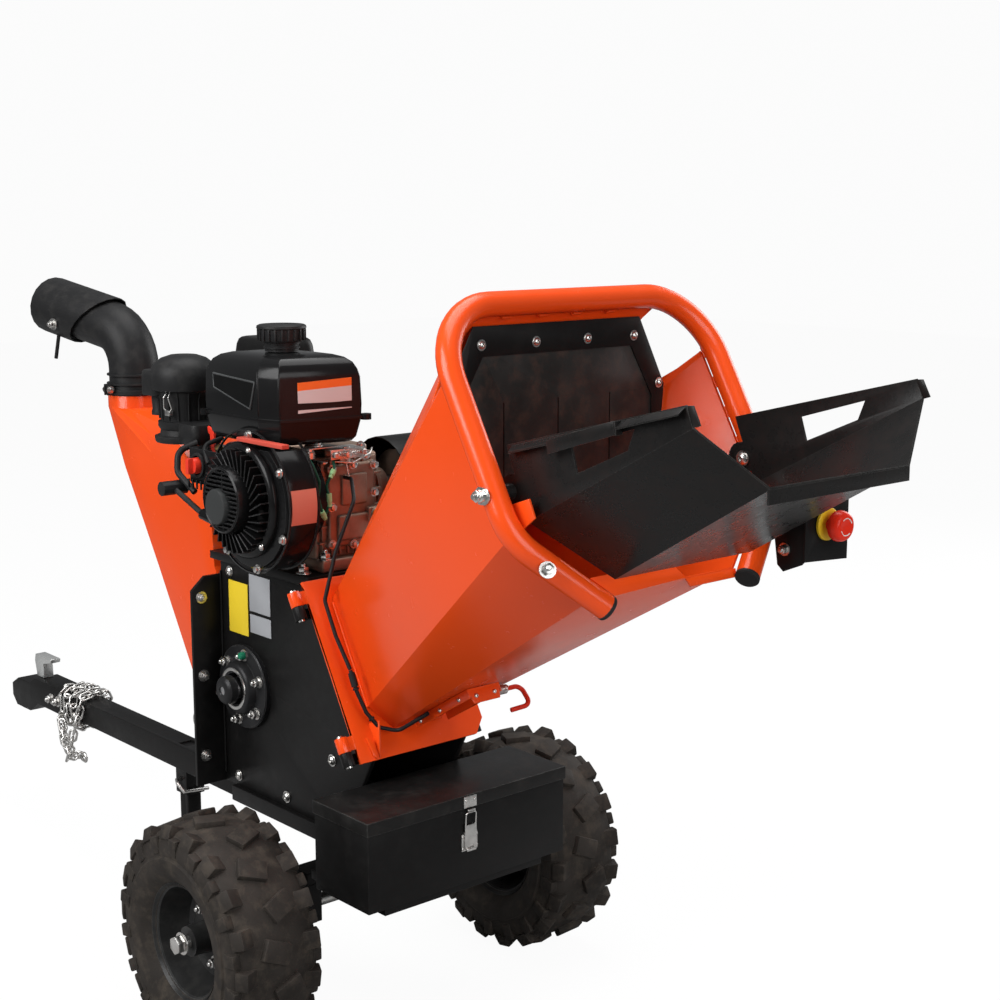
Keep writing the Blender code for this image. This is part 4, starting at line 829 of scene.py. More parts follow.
inlay = plate("inlay", [Vector(p) + Vector((0.0, -0.0002, 0.0)) for p in frame_line],
              Vector((0.0, -0.0006, 0.0)), 0)
settle(inlay, "chassis", inlay_black, "tank_plastic")

# Two plain stick-on plates on the tank's front: an orange band over a pale field,
# both without any print, each a little proud of the moulding.
pale_film = coating("pale_film", (0.62, 0.55, 0.54), mottle=0.05, rough=(0.25, 0.35), grain=500.0,
                    depth=0.00002)
orange_film = coating("orange_film", (0.86, 0.16, 0.03), mottle=0.05, rough=(0.25, 0.35), grain=500.0,
                      depth=0.00002)


def on_tank(y, z, lift=0.0):
    """A point on the tank's sloping front face."""
    slant = 0.5230 + (y + 0.137) * 0.0285 / 0.129
    bulge = -0.0016 - 0.020 * abs(z - 0.930) * (1.0 if z > 0.930 else 0.4)
    return Vector((slant + bulge + lift, y, z))


foot, split, crest = (0.9200, 0.9245, 0.0006), (0.9535, 0.9580, 0.0010), (0.9655, 0.9700, 0.0016)
for name, under, over, film in (("field", foot, split, pale_film), ("band", split, crest, orange_film)):
    corners = [on_tank(-0.108, under[0], under[2]), on_tank(-0.024, under[1], under[2]),
               on_tank(-0.024, over[1], over[2]), on_tank(-0.108, over[0], over[2])]
    settle(plate(name, corners, Vector((0.0009, 0, 0)), 0), "chassis", film, "tank_plastic")

# ------------------------------------------------------------------ fuel cap
# A screw cap moulded in grained black plastic, with finger flutes and a flared lip.
# It screws down on the tank's ribbed neck.
grained_black = coating("grained_black", (0.014, 0.014, 0.0145), mottle=0.10, rough=(0.38, 0.52),
                        grain=1700.0, depth=0.00018, edge=(0.05, 0.05, 0.05), edge_width=0.0008,
                        dust=0.05)
cap_low, cap_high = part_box("fuel_cap")
cap_x = (cap_low[0] + cap_high[0]) / 2.0
cap_y = (cap_low[1] + cap_high[1]) / 2.0
cap = turned("cap", (cap_x, cap_y, 1.0060), (0, 0, 1), [
    (0.0000, 0.0), (0.0000, 0.0255), (0.0040, 0.0255), (0.0045, 0.0275), (0.0070, 0.0275), (0.0075, 0.0255),
    (0.0110, 0.0255), (0.0115, 0.0275), (0.0140, 0.0275), (0.0150, 0.0330), (0.0180, 0.0345),
    (0.0330, 0.0350), (0.0350, 0.0378), (0.0385, 0.0372), (0.0402, 0.0340), (0.0404, 0.0290),
    (0.0392, 0.0270), (0.0392, 0.0)], sides=72)
flutes = []
rib_block = block("flute", (-0.0022, -0.0016, 0.0), (0.0022, 0.0016, 0.0175), 0.0009)
for k in range(22):
    angle = 2.0 * math.pi * k / 22.0
    flutes.append(copy_to(rib_block, "flute", Matrix.Translation((cap_x, cap_y, 1.0225)) @
                          Matrix.Rotation(angle, 4, "Z") @ Matrix.Translation((0.0350, 0.0, 0.0))))
bpy.data.objects.remove(rib_block, do_unlink=True)
settle(join("screw_cap", [cap] + flutes), "tank_cap", grained_black, "black_plastic", "fuel_cap")

# ------------------------------------------------------------------ silencer and air cleaner
# The silencer sits in a rounded black steel guard, pressed with cooling slots.
# The air cleaner is a grained moulding with a wide lid, an inlet box and a wire clip.
guard_low, guard_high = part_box("muffler")
back_x, front_x = guard_low[0] - 0.004, guard_high[0] - 0.004
guard_plan = round_ring([(back_x, guard_low[1]), (front_x, guard_low[1]), (front_x, guard_high[1]),
                         (back_x, guard_high[1])], 0.022, 8)
guard_mid = ((guard_low[0] + guard_high[0]) / 2.0 - 0.004, (guard_low[1] + guard_high[1]) / 2.0)
top = guard_high[2]
shroud = stacked("shroud", guard_plan, [
    (guard_low[2], 0.96, 0.96), (guard_low[2] + 0.006, 1.0, 1.0), (top - 0.024, 1.0, 1.0),
    (top - 0.012, 0.975, 0.965), (top - 0.004, 0.93, 0.90), (top - 0.0010, 0.87, 0.82),
    (top, 0.80, 0.74)], guard_mid)
slots = []
for k in range(7):
    z = top - 0.038 - 0.012 * k
    slots.append(block("slot", (guard_low[0] + 0.020, guard_low[1] - 0.0012, z),
                       (guard_high[0] - 0.028, guard_low[1] + 0.002, z + 0.004), 0.0010))
    slots.append(block("slot", (guard_high[0] - 0.006, guard_low[1] + 0.022, z),
                       (guard_high[0] - 0.0028, guard_high[1] - 0.022, z + 0.004), 0.0010))
settle(join("silencer_guard", [shroud] + slots), "chassis", black_coat, "black_paint", "muffler")

cleaner_x, cleaner_y = 0.180, -0.092
bowl = turned("bowl", (cleaner_x, cleaner_y, 0.842), (0, 0, 1), [
    (0.000, 0.0), (0.000, 0.0480), (0.004, 0.0500), (0.010, 0.0500), (0.012, 0.0420), (0.020, 0.0400),
    (0.026, 0.0440), (0.034, 0.0440), (0.036, 0.0395), (0.070, 0.0410), (0.082, 0.0460), (0.086, 0.0540),
    (0.090, 0.0550), (0.108, 0.0550), (0.118, 0.0530), (0.128, 0.0470), (0.136, 0.0370), (0.141, 0.0220),
    (0.1422, 0.0)], sides=64)
inlet_plan = round_ring([(0.1300, -0.146), (0.178, -0.146), (0.178, -0.100), (0.1300, -0.100)], 0.010)
inlet = stacked("inlet", inlet_plan, [
    (0.9180, 0.94, 0.94), (0.9200, 1.0, 1.0), (0.9500, 1.0, 1.0), (0.9560, 0.95, 0.95), (0.9590, 0.86, 0.86)],
    (0.154, -0.123))
spout = turned("spout", (0.150, -0.120, 0.925), (0, 0, -1), [
    (0.0, 0.0), (0.0, 0.015), (0.030, 0.013), (0.034, 0.0145), (0.040, 0.0145), (0.040, 0.010), (0.035, 0.0)],
    sides=28)
elbow_plan = round_ring([(0.205, -0.125), (0.262, -0.125), (0.262, -0.070), (0.205, -0.070)], 0.012, 4)
elbow_box = stacked("elbow_box", elbow_plan, [
    (0.8440, 0.95, 0.95), (0.8460, 1.0, 1.0), (0.8700, 1.0, 1.0), (0.8760, 0.94, 0.94)], (0.2335, -0.0975))
cleaner_ribs = [bent_rod("cleaner_rib", [(cleaner_x + r * math.cos(a), cleaner_y + r * math.sin(a), z)
                                         for r, z in ((0.0408, 0.880), (0.0412, 0.912), (0.0462, 0.924))],
                         0.0016, 2)
                for a in [-2.9 + 0.42 * k for k in range(11)]]
settle(join("air_cleaner_body", [bowl, inlet, spout, elbow_box] + cleaner_ribs), "chassis", grained_black,
       "black_plastic", "air_cleaner")
clip_line = [(0.196, -0.1335, 0.9260), (0.196, -0.1400, 0.9180), (0.193, -0.1385, 0.9000),
             (0.198, -0.1335, 0.8930), (0.2065, -0.1320, 0.8990), (0.2060, -0.1380, 0.9180),
             (0.204, -0.1325, 0.9260)]
settle(join("cleaner_clip", [bent_rod("clip", rounded(clip_line, [0.003] * 5, 4), 0.0012, 3),
                             block("catch", (0.192, -0.1372, 0.888), (0.207, -0.1300, 0.897), 0.0010)]),
       "chassis", bright_steel, "black_plastic")

# ------------------------------------------------------------------ recoil starter
# A black pressed ring with radial cooling vanes, a slatted grille set to one side
# and a plain dark centre cap. Three small screws hold it on the blower housing.
# Its edges are painted light grey as a painted highlight: this draws the bright ring round the starter and
# the bright rolled rims of the housing.
shell_black = coating("shell_black", (0.0065, 0.0065, 0.0068), mottle=0.1, rough=(0.15, 0.28),
                      depth=0.00005, edge=(0.12, 0.12, 0.12))
painted_shade_black = coating("painted_shade_black", (0.004, 0.0035, 0.0035), mottle=0.3, rough=(0.6, 0.8), grain=500.0,
                    depth=0.0003)
starter_low, starter_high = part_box("recoil_cover")
back_y = starter_high[1]
deep = starter_high[1] - starter_low[1]
hub_x, hub_z = 0.456, 0.787
big = 0.0880
ring = turned("ring", (hub_x, back_y, hub_z), (0, -1, 0), [
    (0.0, big - 0.012), (0.0, big), (0.0040, big + 0.0004), (0.0075, big - 0.0005), (0.0105, big - 0.0040),
    (0.0115, big - 0.0085), (0.0100, big - 0.0120), (0.0, big - 0.012)], sides=96)
vanes = []
vane = block("vane", (-0.0165, -0.0011, 0.0), (0.0165, 0.0011, deep * 0.62), 0.0005, 1)
for k in range(34):
    angle = 2.0 * math.pi * k / 34.0
    stand_up = Matrix.Translation((hub_x, back_y, hub_z)) @ Matrix.Rotation(math.radians(90.0), 4, "X")
    vanes.append(copy_to(vane, "vane", stand_up @ Matrix.Rotation(angle, 4, "Z") @
                         Matrix.Translation((0.0635, 0.0, 0.0)) @ Matrix.Rotation(0.45, 4, "Z")))
bpy.data.objects.remove(vane, do_unlink=True)
set_x, set_z = 0.443, 0.789
inner = turned("inner", (set_x, back_y, set_z), (0, -1, 0), [
    (0.0, 0.0440), (0.0, 0.0530), (deep * 0.70, 0.0520), (deep * 0.86, 0.0500), (deep * 0.90, 0.0475),
    (deep * 0.84, 0.0450), (deep * 0.60, 0.0440), (0.0, 0.0440)], sides=72)
slats = []
for k in range(-6, 7):
    z = 0.0068 * k
    reach = math.sqrt(0.0450 ** 2 - z * z)
    slats.append(block("slat", (set_x - reach, back_y - deep * 0.84, set_z + z - 0.0016),
                       (set_x + reach, back_y - deep * 0.56, set_z + z + 0.0016), 0.0006, 1))
tie = block("tie", (set_x - 0.0015, back_y - deep * 0.80, set_z - 0.0448),
            (set_x + 0.0015, back_y - deep * 0.5, set_z + 0.0448), 0.0005, 1)
guide = bent_rod("guide", [(0.402, -0.1676, 0.745), (0.378, -0.1676, 0.7490), (0.352, -0.1676, 0.7525)],
                 0.0088, 6)
settle(join("starter_cover", [ring, inner, guide] + vanes + slats + [tie]), "chassis", shell_black,
       "black_plastic", "recoil_cover")
# A matte near-black disc fills the back of the ring behind the vanes: painted shade standing in for the dark
# inside of the cover.
shade_disc = turned("shade_disc", (hub_x, back_y, hub_z), (0, -1, 0), [
    (0.0, 0.0), (0.0, big - 0.010), (0.0012, big - 0.010), (0.0030, 0.030), (0.0032, 0.0)], sides=64)
settle(shade_disc, "chassis", painted_shade_black, "black_plastic")
grey_cap = coating("grey_cap", (0.035, 0.037, 0.037), rough=(0.35, 0.45), grain=1500.0, depth=0.0001,
                   edge=(0.10, 0.10, 0.10), edge_width=0.0006)
cap_disc = turned("cap_disc", (0.4335, back_y, 0.7780), (0, -1, 0), [
    (deep * 0.60, 0.0), (deep * 0.60, 0.0275), (deep * 0.93, 0.0272), (deep * 0.98, 0.0258),
    (deep * 1.0, 0.0235), (deep * 0.985, 0.0)], sides=56)
settle(cap_disc, "chassis", grey_cap, "black_plastic")
fixings("starter_screws", dome("d", 0.0044, 0.0030, 0.0060),
        [((hub_x + 0.0825 * math.cos(a), back_y - 0.0100, hub_z + 0.0825 * math.sin(a)), (0, -1, 0))
         for a in (1.25, -0.85, -2.95)])

# ------------------------------------------------------------------ blower housing
# Black pressed steel round the flywheel, with a rolled rim whose edges carry a painted highlight, the
# control box on its left and a plain salmon-coloured plate on its front.
housing = bench_copy("blower_housing", 0.0020, 3)
shaft_x, shaft_z = 0.462, 0.785
rims = [turned("rim", (shaft_x, y, shaft_z), (0, 1, 0), [
    (-0.0020, 0.1075), (-0.0012, 0.1098), (0.0012, 0.1098), (0.0020, 0.1075), (-0.0020, 0.1075)], sides=96)
    for y in (-0.1530, -0.1025)]
settle(join("blower_shell", [housing] + rims), "chassis", shell_black, "black_plastic", "blower_housing")
salmon_film = coating("salmon_film", (0.60, 0.20, 0.14), grain=500.0, depth=0.00002)
curve = []
for k in range(9):
    angle = math.radians(-14.0 + 28.0 * k / 8.0)
    curve.append((shaft_x + 0.1086 * math.cos(angle), -0.1500, 0.788 + 0.1086 * math.sin(angle) * 0.98))
sheet = trace("sheet", curve)
bpy.ops.mesh.select_all(action="SELECT")
bpy.ops.mesh.extrude_region_move(TRANSFORM_OT_translate={"value": (0.0, 0.0440, 0.0)})
bpy.ops.object.mode_set(mode="OBJECT")
thicken = sheet.modifiers.new("thicken", "SOLIDIFY")
thicken.thickness = 0.0009
thicken.offset = 0.0
activate(sheet)
bpy.ops.object.modifier_apply(modifier="thicken")
bpy.ops.object.shade_smooth_by_angle(angle=math.radians(30.0))
settle(sheet, "chassis", salmon_film, "black_plastic")
fixings("housing_bolts", nut("n", 0.009, 0.005, 0.0075),
        [((shaft_x + 0.102 * math.cos(a), -0.1556, shaft_z + 0.102 * math.sin(a)), (0, -1, 0))
         for a in (0.55, -0.45, -1.35, 1.50, -2.20)])


# ------------------------------------------------------------------ engine block
# Sand-cast alloy, machined on its joint faces: a ribbed case, a bolted side cover,
# a finned cylinder and a rocker cover. It is bolted to the deck by four feet.
cast_alloy = coating("cast_alloy", (0.30, 0.215, 0.165), mottle=0.22, rough=(0.40, 0.58), grain=420.0,
                     depth=0.0006, metal=0.75, edge=(0.62, 0.56, 0.50), edge_width=0.0014, dust=0.30,
                     dust_colour=(0.10, 0.055, 0.04), blotch=22.0)
case_parts = [
    block("case", (0.375, -0.060, 0.684), (0.498, 0.060, 0.846), 0.0060, 4),
    block("foot", (0.372, -0.062, 0.6705), (0.520, 0.088, 0.690), 0.0030, 3),
    block("joint_face", (0.4975, -0.052, 0.698), (0.5045, 0.052, 0.842), 0.0022, 3),
    block("cover", (0.5040, -0.044, 0.706), (0.5130, 0.044, 0.834), 0.0050, 4),
    block("cover_top", (0.5125, -0.022, 0.770), (0.5175, 0.026, 0.818), 0.0030, 3),
    block("cover_dome", (0.5120, -0.030, 0.716), (0.5190, 0.030, 0.756), 0.0045, 4),
    block("breather", (0.440, -0.040, 0.8440), (0.500, 0.040, 0.8600), 0.0050, 4),
    block("neck_boss", (0.512, 0.024, 0.738), (0.523, 0.056, 0.764), 0.0040, 3),
    turned("oil_boss", (0.505, 0.040, 0.750), (1, 0, 0), [
        (0.0, 0.0), (0.0, 0.0150), (0.0180, 0.0135), (0.0200, 0.0120), (0.0200, 0.0)], sides=32),
    turned("drain", (0.5195, 0.020, 0.6800), (1, 0, 0), [
        (0.0, 0.0), (0.0, 0.0085), (0.0040, 0.0085), (0.0042, 0.0060), (0.0085, 0.0060), (0.0085, 0.0)],
        sides=18),
    turned("shaft_boss", (shaft_x, 0.058, shaft_z), (0, 1, 0), [
        (0.0, 0.0), (0.0, 0.0420), (0.0080, 0.0400), (0.0100, 0.0300), (0.0300, 0.0280), (0.0300, 0.0)])]
for k in range(6):
    y = -0.038 + 0.0152 * k
    case_parts.append(block("rib", (0.5035, y, 0.693), (0.5090, y + 0.0035, 0.707), 0.0012))
    case_parts.append(block("rib", (0.5035, y, 0.833), (0.5080, y + 0.0035, 0.8430), 0.0012))
for k in range(5):
    z = 0.712 + 0.0250 * k
    for y in (-0.0590, 0.0440):
        case_parts.append(block("rib", (0.500, y, z), (0.5085, y + 0.0150, z + 0.0036), 0.0012))
cover_spots = ((-0.040, 0.712), (-0.040, 0.770), (-0.040, 0.828), (0.040, 0.712), (0.040, 0.785),
               (0.040, 0.828), (0.0, 0.708), (0.0, 0.832))
for y, z in cover_spots:
    case_parts.append(turned("boss", (0.503, y, z), (1, 0, 0), [
        (0.0, 0.0), (0.0, 0.0080), (0.0105, 0.0072), (0.0112, 0.0062), (0.0112, 0.0)], sides=24))
settle(join("engine_case", case_parts), "chassis", cast_alloy, "engine_alloy", "crankcase")
fixings("case_bolts", nut("n", 0.0095, 0.0058, 0.0072),
        [((0.5142, y, z), (1, 0, 0)) for y, z in cover_spots])
fixings("foot_bolts", nut("n", 0.0140, 0.0085, 0.0115, 0.005),
        [((x, y, 0.6900), (0, 0, 1)) for x, y in ((0.509, -0.050), (0.509, 0.074), (0.386, 0.078))])
head_low, head_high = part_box("cylinder_head")
fins = [block("barrel", (head_low[0] + 0.012, head_low[1] + 0.014, head_low[2] + 0.012),
              (head_high[0], head_high[1] - 0.014, head_high[2] - 0.012), 0.006, 3)]
for k in range(9):
    x = head_low[0] + 0.030 + 0.0105 * k
    fins.append(block("fin", (x, head_low[1], head_low[2]), (x + 0.0034, head_high[1], head_high[2]), 0.0012))
fins.append(block("rocker_cover", (head_low[0], head_low[1] + 0.020, head_low[2] + 0.020),
                  (head_low[0] + 0.020, head_high[1] - 0.020, head_high[2] - 0.020), 0.0075, 4))
settle(join("cylinder", fins), "chassis", cast_alloy, "engine_alloy", "cylinder_head")

# ------------------------------------------------------------------ carburettor controls
# Zinc plates, springs and rods that work the throttle, bolted beside the case just
# under the tank, with the governor arm below them.
thin_zinc = coating("thin_zinc", (0.60, 0.57, 0.54), mottle=0.25, rough=(0.22, 0.42), grain=600.0,
                    depth=0.0001, metal=1.0, dust=0.25, dust_colour=(0.25, 0.12, 0.09), blotch=60.0)
linkage = [
    block("plate_a", (0.5050, -0.058, 0.8600), (0.5400, 0.004, 0.8622), 0.0006),
    block("plate_b", (0.5380, -0.058, 0.8470), (0.5402, 0.004, 0.8620), 0.0006),
    block("plate_c", (0.5080, -0.088, 0.8650), (0.5350, -0.040, 0.8668), 0.0006),
    block("arm", (0.5300, -0.030, 0.8380), (0.5345, -0.018, 0.8640), 0.0016),
    block("arm_b", (0.5120, -0.074, 0.8420), (0.5420, -0.066, 0.8455), 0.0014),
    turned("spool", (0.530, -0.040, 0.8460), (0, 1, 0), [
        (0.0, 0.0), (0.0, 0.0080), (0.0030, 0.0080), (0.0034, 0.0050), (0.0120, 0.0050), (0.0124, 0.0080),
        (0.0150, 0.0080), (0.0150, 0.0)], sides=24),
    turned("screw", (0.541, -0.052, 0.8540), (1, 0, 0), [
        (0.0, 0.0), (0.0, 0.0050), (0.0050, 0.0048), (0.0062, 0.0036), (0.0062, 0.0)], sides=18),
    turned("screw", (0.541, 0.000, 0.8560), (1, 0, 0), [
        (0.0, 0.0), (0.0, 0.0044), (0.0050, 0.0042), (0.0062, 0.0030), (0.0062, 0.0)], sides=18),
    turned("jet_body", (0.5200, -0.084, 0.8500), (0, 0, 1), [
        (0.0, 0.0), (0.0, 0.0090), (0.0090, 0.0095), (0.0110, 0.0070), (0.0150, 0.0070), (0.0150, 0.0)],
        sides=24),
    bent_rod("rod", [(0.536, -0.052, 0.8440), (0.5445, -0.020, 0.8400), (0.5430, 0.012, 0.8520),
                     (0.5240, 0.030, 0.8560)], 0.0014, 3),
    bent_rod("rod", [(0.5310, -0.024, 0.8390), (0.5330, -0.020, 0.8120), (0.5250, -0.006, 0.8000)],
             0.0014, 3)]
coil_line = [(0.5440 + 0.0034 * math.cos(0.9 * i), -0.046 + 0.00045 * i, 0.8560 + 0.0034 * math.sin(0.9 * i))
             for i in range(80)]
linkage.append(bent_rod("coil", coil_line, 0.0006, 1))
settle(join("governor_linkage", linkage), "chassis", thin_zinc, "zinc")
fixings("linkage_bolts", nut("n", 0.0100, 0.0060, 0.0080),
        [((0.5404, -0.030, 0.8540), (1, 0, 0)), ((0.5185, 0.012, 0.8600), (1, 0, 0)),
         ((0.516, -0.066, 0.8668), (0, 0, 1)), ((0.5200, 0.020, 0.8460), (1, 0, 0))])

# ------------------------------------------------------------------ engine wiring
# Short fixed wires between the ignition coil and the case: two green, one black,
# joined by pale green push-on connectors. Both ends are clamped to the engine.
green_sheath = coating("green_sheath", (0.006, 0.075, 0.045), mottle=0.15, rough=(0.35, 0.5), grain=800.0,
                       depth=0.00008)
pale_green = coating("pale_green", (0.33, 0.62, 0.30), mottle=0.10, rough=(0.22, 0.35), grain=700.0,
                     depth=0.00005)
wire_a = [(0.532, -0.098, 0.8600), (0.545, -0.094, 0.8420), (0.549, -0.086, 0.8180), (0.548, -0.088, 0.7950),
          (0.550, -0.084, 0.7750), (0.545, -0.074, 0.7620)]
wire_b = [(0.534, -0.050, 0.8500), (0.545, -0.056, 0.8350), (0.548, -0.066, 0.8230), (0.546, -0.072, 0.8100),
          (0.549, -0.068, 0.7900), (0.545, -0.072, 0.7680)]
settle(join("green_wires", [bent_rod("wire", rounded(line, [0.010] * 4, 5), 0.0021, 3)
                            for line in (wire_a, wire_b)]), "chassis", green_sheath, "lead_sheath")
connectors = []
for a, b, r in (((0.5455, -0.0575, 0.8330), (0.5482, -0.0660, 0.8220), 0.0043),
                ((0.5485, -0.0690, 0.7990), (0.5492, -0.0685, 0.7790), 0.0042),
                ((0.5497, -0.0840, 0.7740), (0.5450, -0.0740, 0.7610), 0.0045)):
    start, end = Vector(a), Vector(b)
    mid = start.lerp(end, 0.6)
    connectors.append(bent_rod("shell", [start, mid], r, 4))
    connectors.append(bent_rod("shell", [mid, end], r * 0.78, 4))
settle(join("connectors", connectors), "chassis", pale_green, "lead_sheath")

# ------------------------------------------------------------------ engine controls
# Moulded levers on the control box: an orange-red choke tab, a salmon throttle
# strip, a red rocker with its bezel, a brass fuel bolt and the oil filler plug.
lever_red = coating("lever_red", (0.72, 0.040, 0.020), rough=(0.28, 0.42), depth=0.00005,
                    edge=(0.85, 0.25, 0.18), edge_width=0.0006)
for node, body in (("choke_lever", "choke"), ("engine_switch", "ignition")):
    dress(node, body, lever_red, "red_plastic", 0.0010, 3)
strip_red = coating("strip_red", (0.55, 0.075, 0.050), mottle=0.12, rough=(0.35, 0.5), grain=700.0,
                    depth=0.00008, edge=(0.75, 0.35, 0.28), edge_width=0.0008)
dress("throttle_lever", "throttle", strip_red, "red_plastic", steps=3)
amber = coating("amber", (0.72, 0.20, 0.012), mottle=0.10, rough=(0.30, 0.45), grain=800.0, depth=0.00008,
                edge=(0.9, 0.5, 0.1), edge_width=0.0008)
plug = bench_copy("dipstick", 0.0008, 3)
plug_low, plug_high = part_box("dipstick")
plug_y = (plug_low[1] + plug_high[1]) / 2.0
plug_z = (plug_low[2] + plug_high[2]) / 2.0
wings = [block("wing", (plug_high[0] - 0.002, plug_y - 0.0150, plug_z - 0.0024),
               (plug_high[0] + 0.0070, plug_y + 0.0150, plug_z + 0.0024), 0.0015, 3)]
settle(join("oil_plug", [plug] + wings), "oil_dipstick", amber, "amber_plastic", "dipstick")
brass = coating("brass", (0.55, 0.38, 0.16), mottle=0.15, rough=(0.25, 0.40), grain=700.0, depth=0.0001,
                metal=1.0)
fixings("fuel_bolt", nut("n", 0.0120, 0.0150, 0.0090), [((0.352, -0.128, 0.842), (0, -0.6, 0.8))],
        "chassis", brass)
bezel_low, bezel_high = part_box("engine_switch")
bezels = []
for grow, lift in ((0.0040, 0.0), (0.0058, 0.0022)):
    bezels.append(turned("bezel", ((bezel_low[0] + bezel_high[0]) / 2.0, -0.1556, 0.824), (0, -1, 0), [
        (0.0, 0.0115 + grow), (0.0, 0.0140 + grow), (0.0030, 0.0135 + grow), (0.0034, 0.0115 + grow),
        (0.0, 0.0115 + grow)], sides=36))
thick_hose = [(0.262, -0.120, 0.850), (0.252, -0.150, 0.838), (0.262, -0.158, 0.806), (0.300, -0.150, 0.778)]
thin_hose = [(0.340, -0.120, 0.866), (0.330, -0.150, 0.856), (0.352, -0.156, 0.830)]
hoses = [bent_rod("hose", rounded(thick_hose, [0.02, 0.02], 6), 0.0052),
         bent_rod("hose", rounded(thin_hose, [0.014], 6), 0.0038, 4)]
box_ribs = [block("rib", (0.292 + 0.012 * k, -0.1578, 0.786), (0.2955 + 0.012 * k, -0.1550, 0.800))
            for k in range(5)]
settle(join("control_details", bezels + hoses + box_ribs), "chassis", grained_black, "black_plastic")
dress("recoil_handle", "recoil_grip", grained_black, "black_plastic", 0.0014, 3)


# ------------------------------------------------------------------ chipper housing
# Welded plate in satin black: two side plates, the rotor shell, deck, rear flange and
# anvil bar. Zinc tie bolts hold the sides, and three blank plates are riveted on.
for node in ("side_plate_left", "side_plate_right", "rotor_shell", "rear_flange", "engine_deck"):
    dress(node, "chassis", black_coat, "black_paint", 0.0006)
ground_steel = coating("ground_steel", (0.42, 0.42, 0.43), mottle=0.15, rough=(0.18, 0.40), grain=300.0,
                       depth=0.0001, metal=1.0, edge=(0.75, 0.75, 0.75), edge_width=0.0008, dust=0.15,
                       dust_colour=(0.12, 0.08, 0.05))
dress("anvil_bar", "chassis", ground_steel, "steel", 0.0006)
skin_y = -0.0904
plain_yellow = coating("plain_yellow", (0.72, 0.52, 0.03), mottle=0.08, rough=(0.35, 0.5), grain=600.0,
                       depth=0.00003)
plain_grey = coating("plain_grey", (0.42, 0.43, 0.45), mottle=0.10, rough=(0.30, 0.45), grain=400.0,
                     depth=0.00003, metal=0.3)
settle(block("yellow_blank", (0.2965, skin_y - 0.0010, 0.5440), (0.3520, skin_y + 0.0002, 0.6290), 0.0004),
       "chassis", plain_yellow, "black_paint")
settle(join("grey_blanks", [
    block("blank", (0.3570, skin_y - 0.0010, 0.5880), (0.4160, skin_y + 0.0002, 0.6480), 0.0004),
    block("blank", (0.3580, skin_y - 0.0010, 0.5530), (0.4170, skin_y + 0.0002, 0.5830), 0.0004)]),
    "chassis", plain_grey, "black_paint")
for side, sign in wheel_sides:
    wall_y = -sign * skin_y
    spots = [((x, wall_y, z), (0, sign, 0)) for x, z in ((0.312, 0.303), (0.450, 0.303), (0.575, 0.395),
                                                          (0.300, 0.642), (0.500, 0.630))]
    if sign > 0.0:
        spots = spots[:3]
    fixings("tie_bolts_" + side, dome("d", 0.0075, 0.0045, 0.0095), spots)
fixings("deck_bolts", nut("n", 0.0150, 0.0090, 0.0120, 0.005),
        [((x, y, 0.6702), (0, 0, 1)) for x, y in ((0.494, -0.080), (0.276, -0.072), (0.276, 0.060))])
fixings("flange_bolts", nut("n", 0.0120, 0.0070, 0.0100, 0.003),
        [((0.2723, -0.128, z), (1, 0, 0)) for z in (0.335, 0.470, 0.600)] +
        [((0.2661, -0.128, z), (-1, 0, 0)) for z in (0.335, 0.470, 0.600)])
eye = bent_rod("eye", [(0.246 + 0.0125 * math.cos(a), -0.124, 0.388 + 0.0125 * math.sin(a))
                       for a in [2.0 * math.pi * k / 28.0 for k in range(29)]], 0.0030, 4)
shank = bent_rod("shank", [(0.2575, -0.124, 0.388), (0.268, -0.124, 0.388)], 0.0035, 4)
settle(join("lifting_eye", [eye, shank]), "chassis", bright_steel, "zinc")
settle(block("flange_tab", (0.2475, -0.1240, 0.302), (0.2657, -0.1180, 0.336), 0.0012), "chassis",
       orange_coat, "orange_paint")
seams = [bent_rod("seam", line, 0.0022, 2) for line in (
    [(0.274, -0.0915, 0.300), (0.274, -0.0915, 0.640)],
    [(0.300, -0.0912, 0.6560), (0.500, -0.0912, 0.6560)])]
settle(join("housing_welds", seams), "chassis", black_coat, "black_paint")

# ------------------------------------------------------------------ rotor bearings
# Flanged cast carriers bolted to the side plates, each with a turned cap ring, a
# stub shaft, six nuts and a green dust plug over the grease hole.
gun_black = coating("gun_black", (0.020, 0.020, 0.021), mottle=0.2, rough=(0.28, 0.44), grain=700.0,
                    depth=0.0002, edge=(0.22, 0.22, 0.22), metal=0.4)
rotor_x, rotor_z = 0.342, 0.461
for side, sign in wheel_sides:
    start = -sign * skin_y
    ring = turned("carrier", (rotor_x, start, rotor_z), (0, sign, 0), [
        (0.0, 0.0260), (0.0, 0.0680), (0.0070, 0.0683), (0.0090, 0.0665), (0.0100, 0.0560), (0.0105, 0.0450),
        (0.0200, 0.0425), (0.0235, 0.0400), (0.0250, 0.0360), (0.0252, 0.0300), (0.0240, 0.0260),
        (0.0, 0.0260)], sides=72)
    settle(ring, "chassis", gun_black, "black_paint", "bearing_" + side)
    bright_ring = turned("bright_ring", (rotor_x, start + sign * 0.0246, rotor_z), (0, sign, 0), [
        (0.0, 0.0285), (0.0, 0.0345), (0.0016, 0.0340), (0.0020, 0.0315), (0.0016, 0.0290), (0.0, 0.0285)],
        sides=56)
    settle(bright_ring, "chassis", bright_steel, "zinc")
    fixings("carrier_nuts", nut("n", 0.0130, 0.0090, 0.0100, 0.005),
            [((rotor_x + 0.0545 * math.cos(a), start + sign * 0.0098, rotor_z + 0.0545 * math.sin(a)),
              (0, sign, 0)) for a in [0.35 + math.pi / 3.0 * k for k in range(6)]])
green_plug = coating("green_plug", (0.010, 0.16, 0.085), mottle=0.1, rough=(0.3, 0.4), grain=600.0,
                     depth=0.00005)
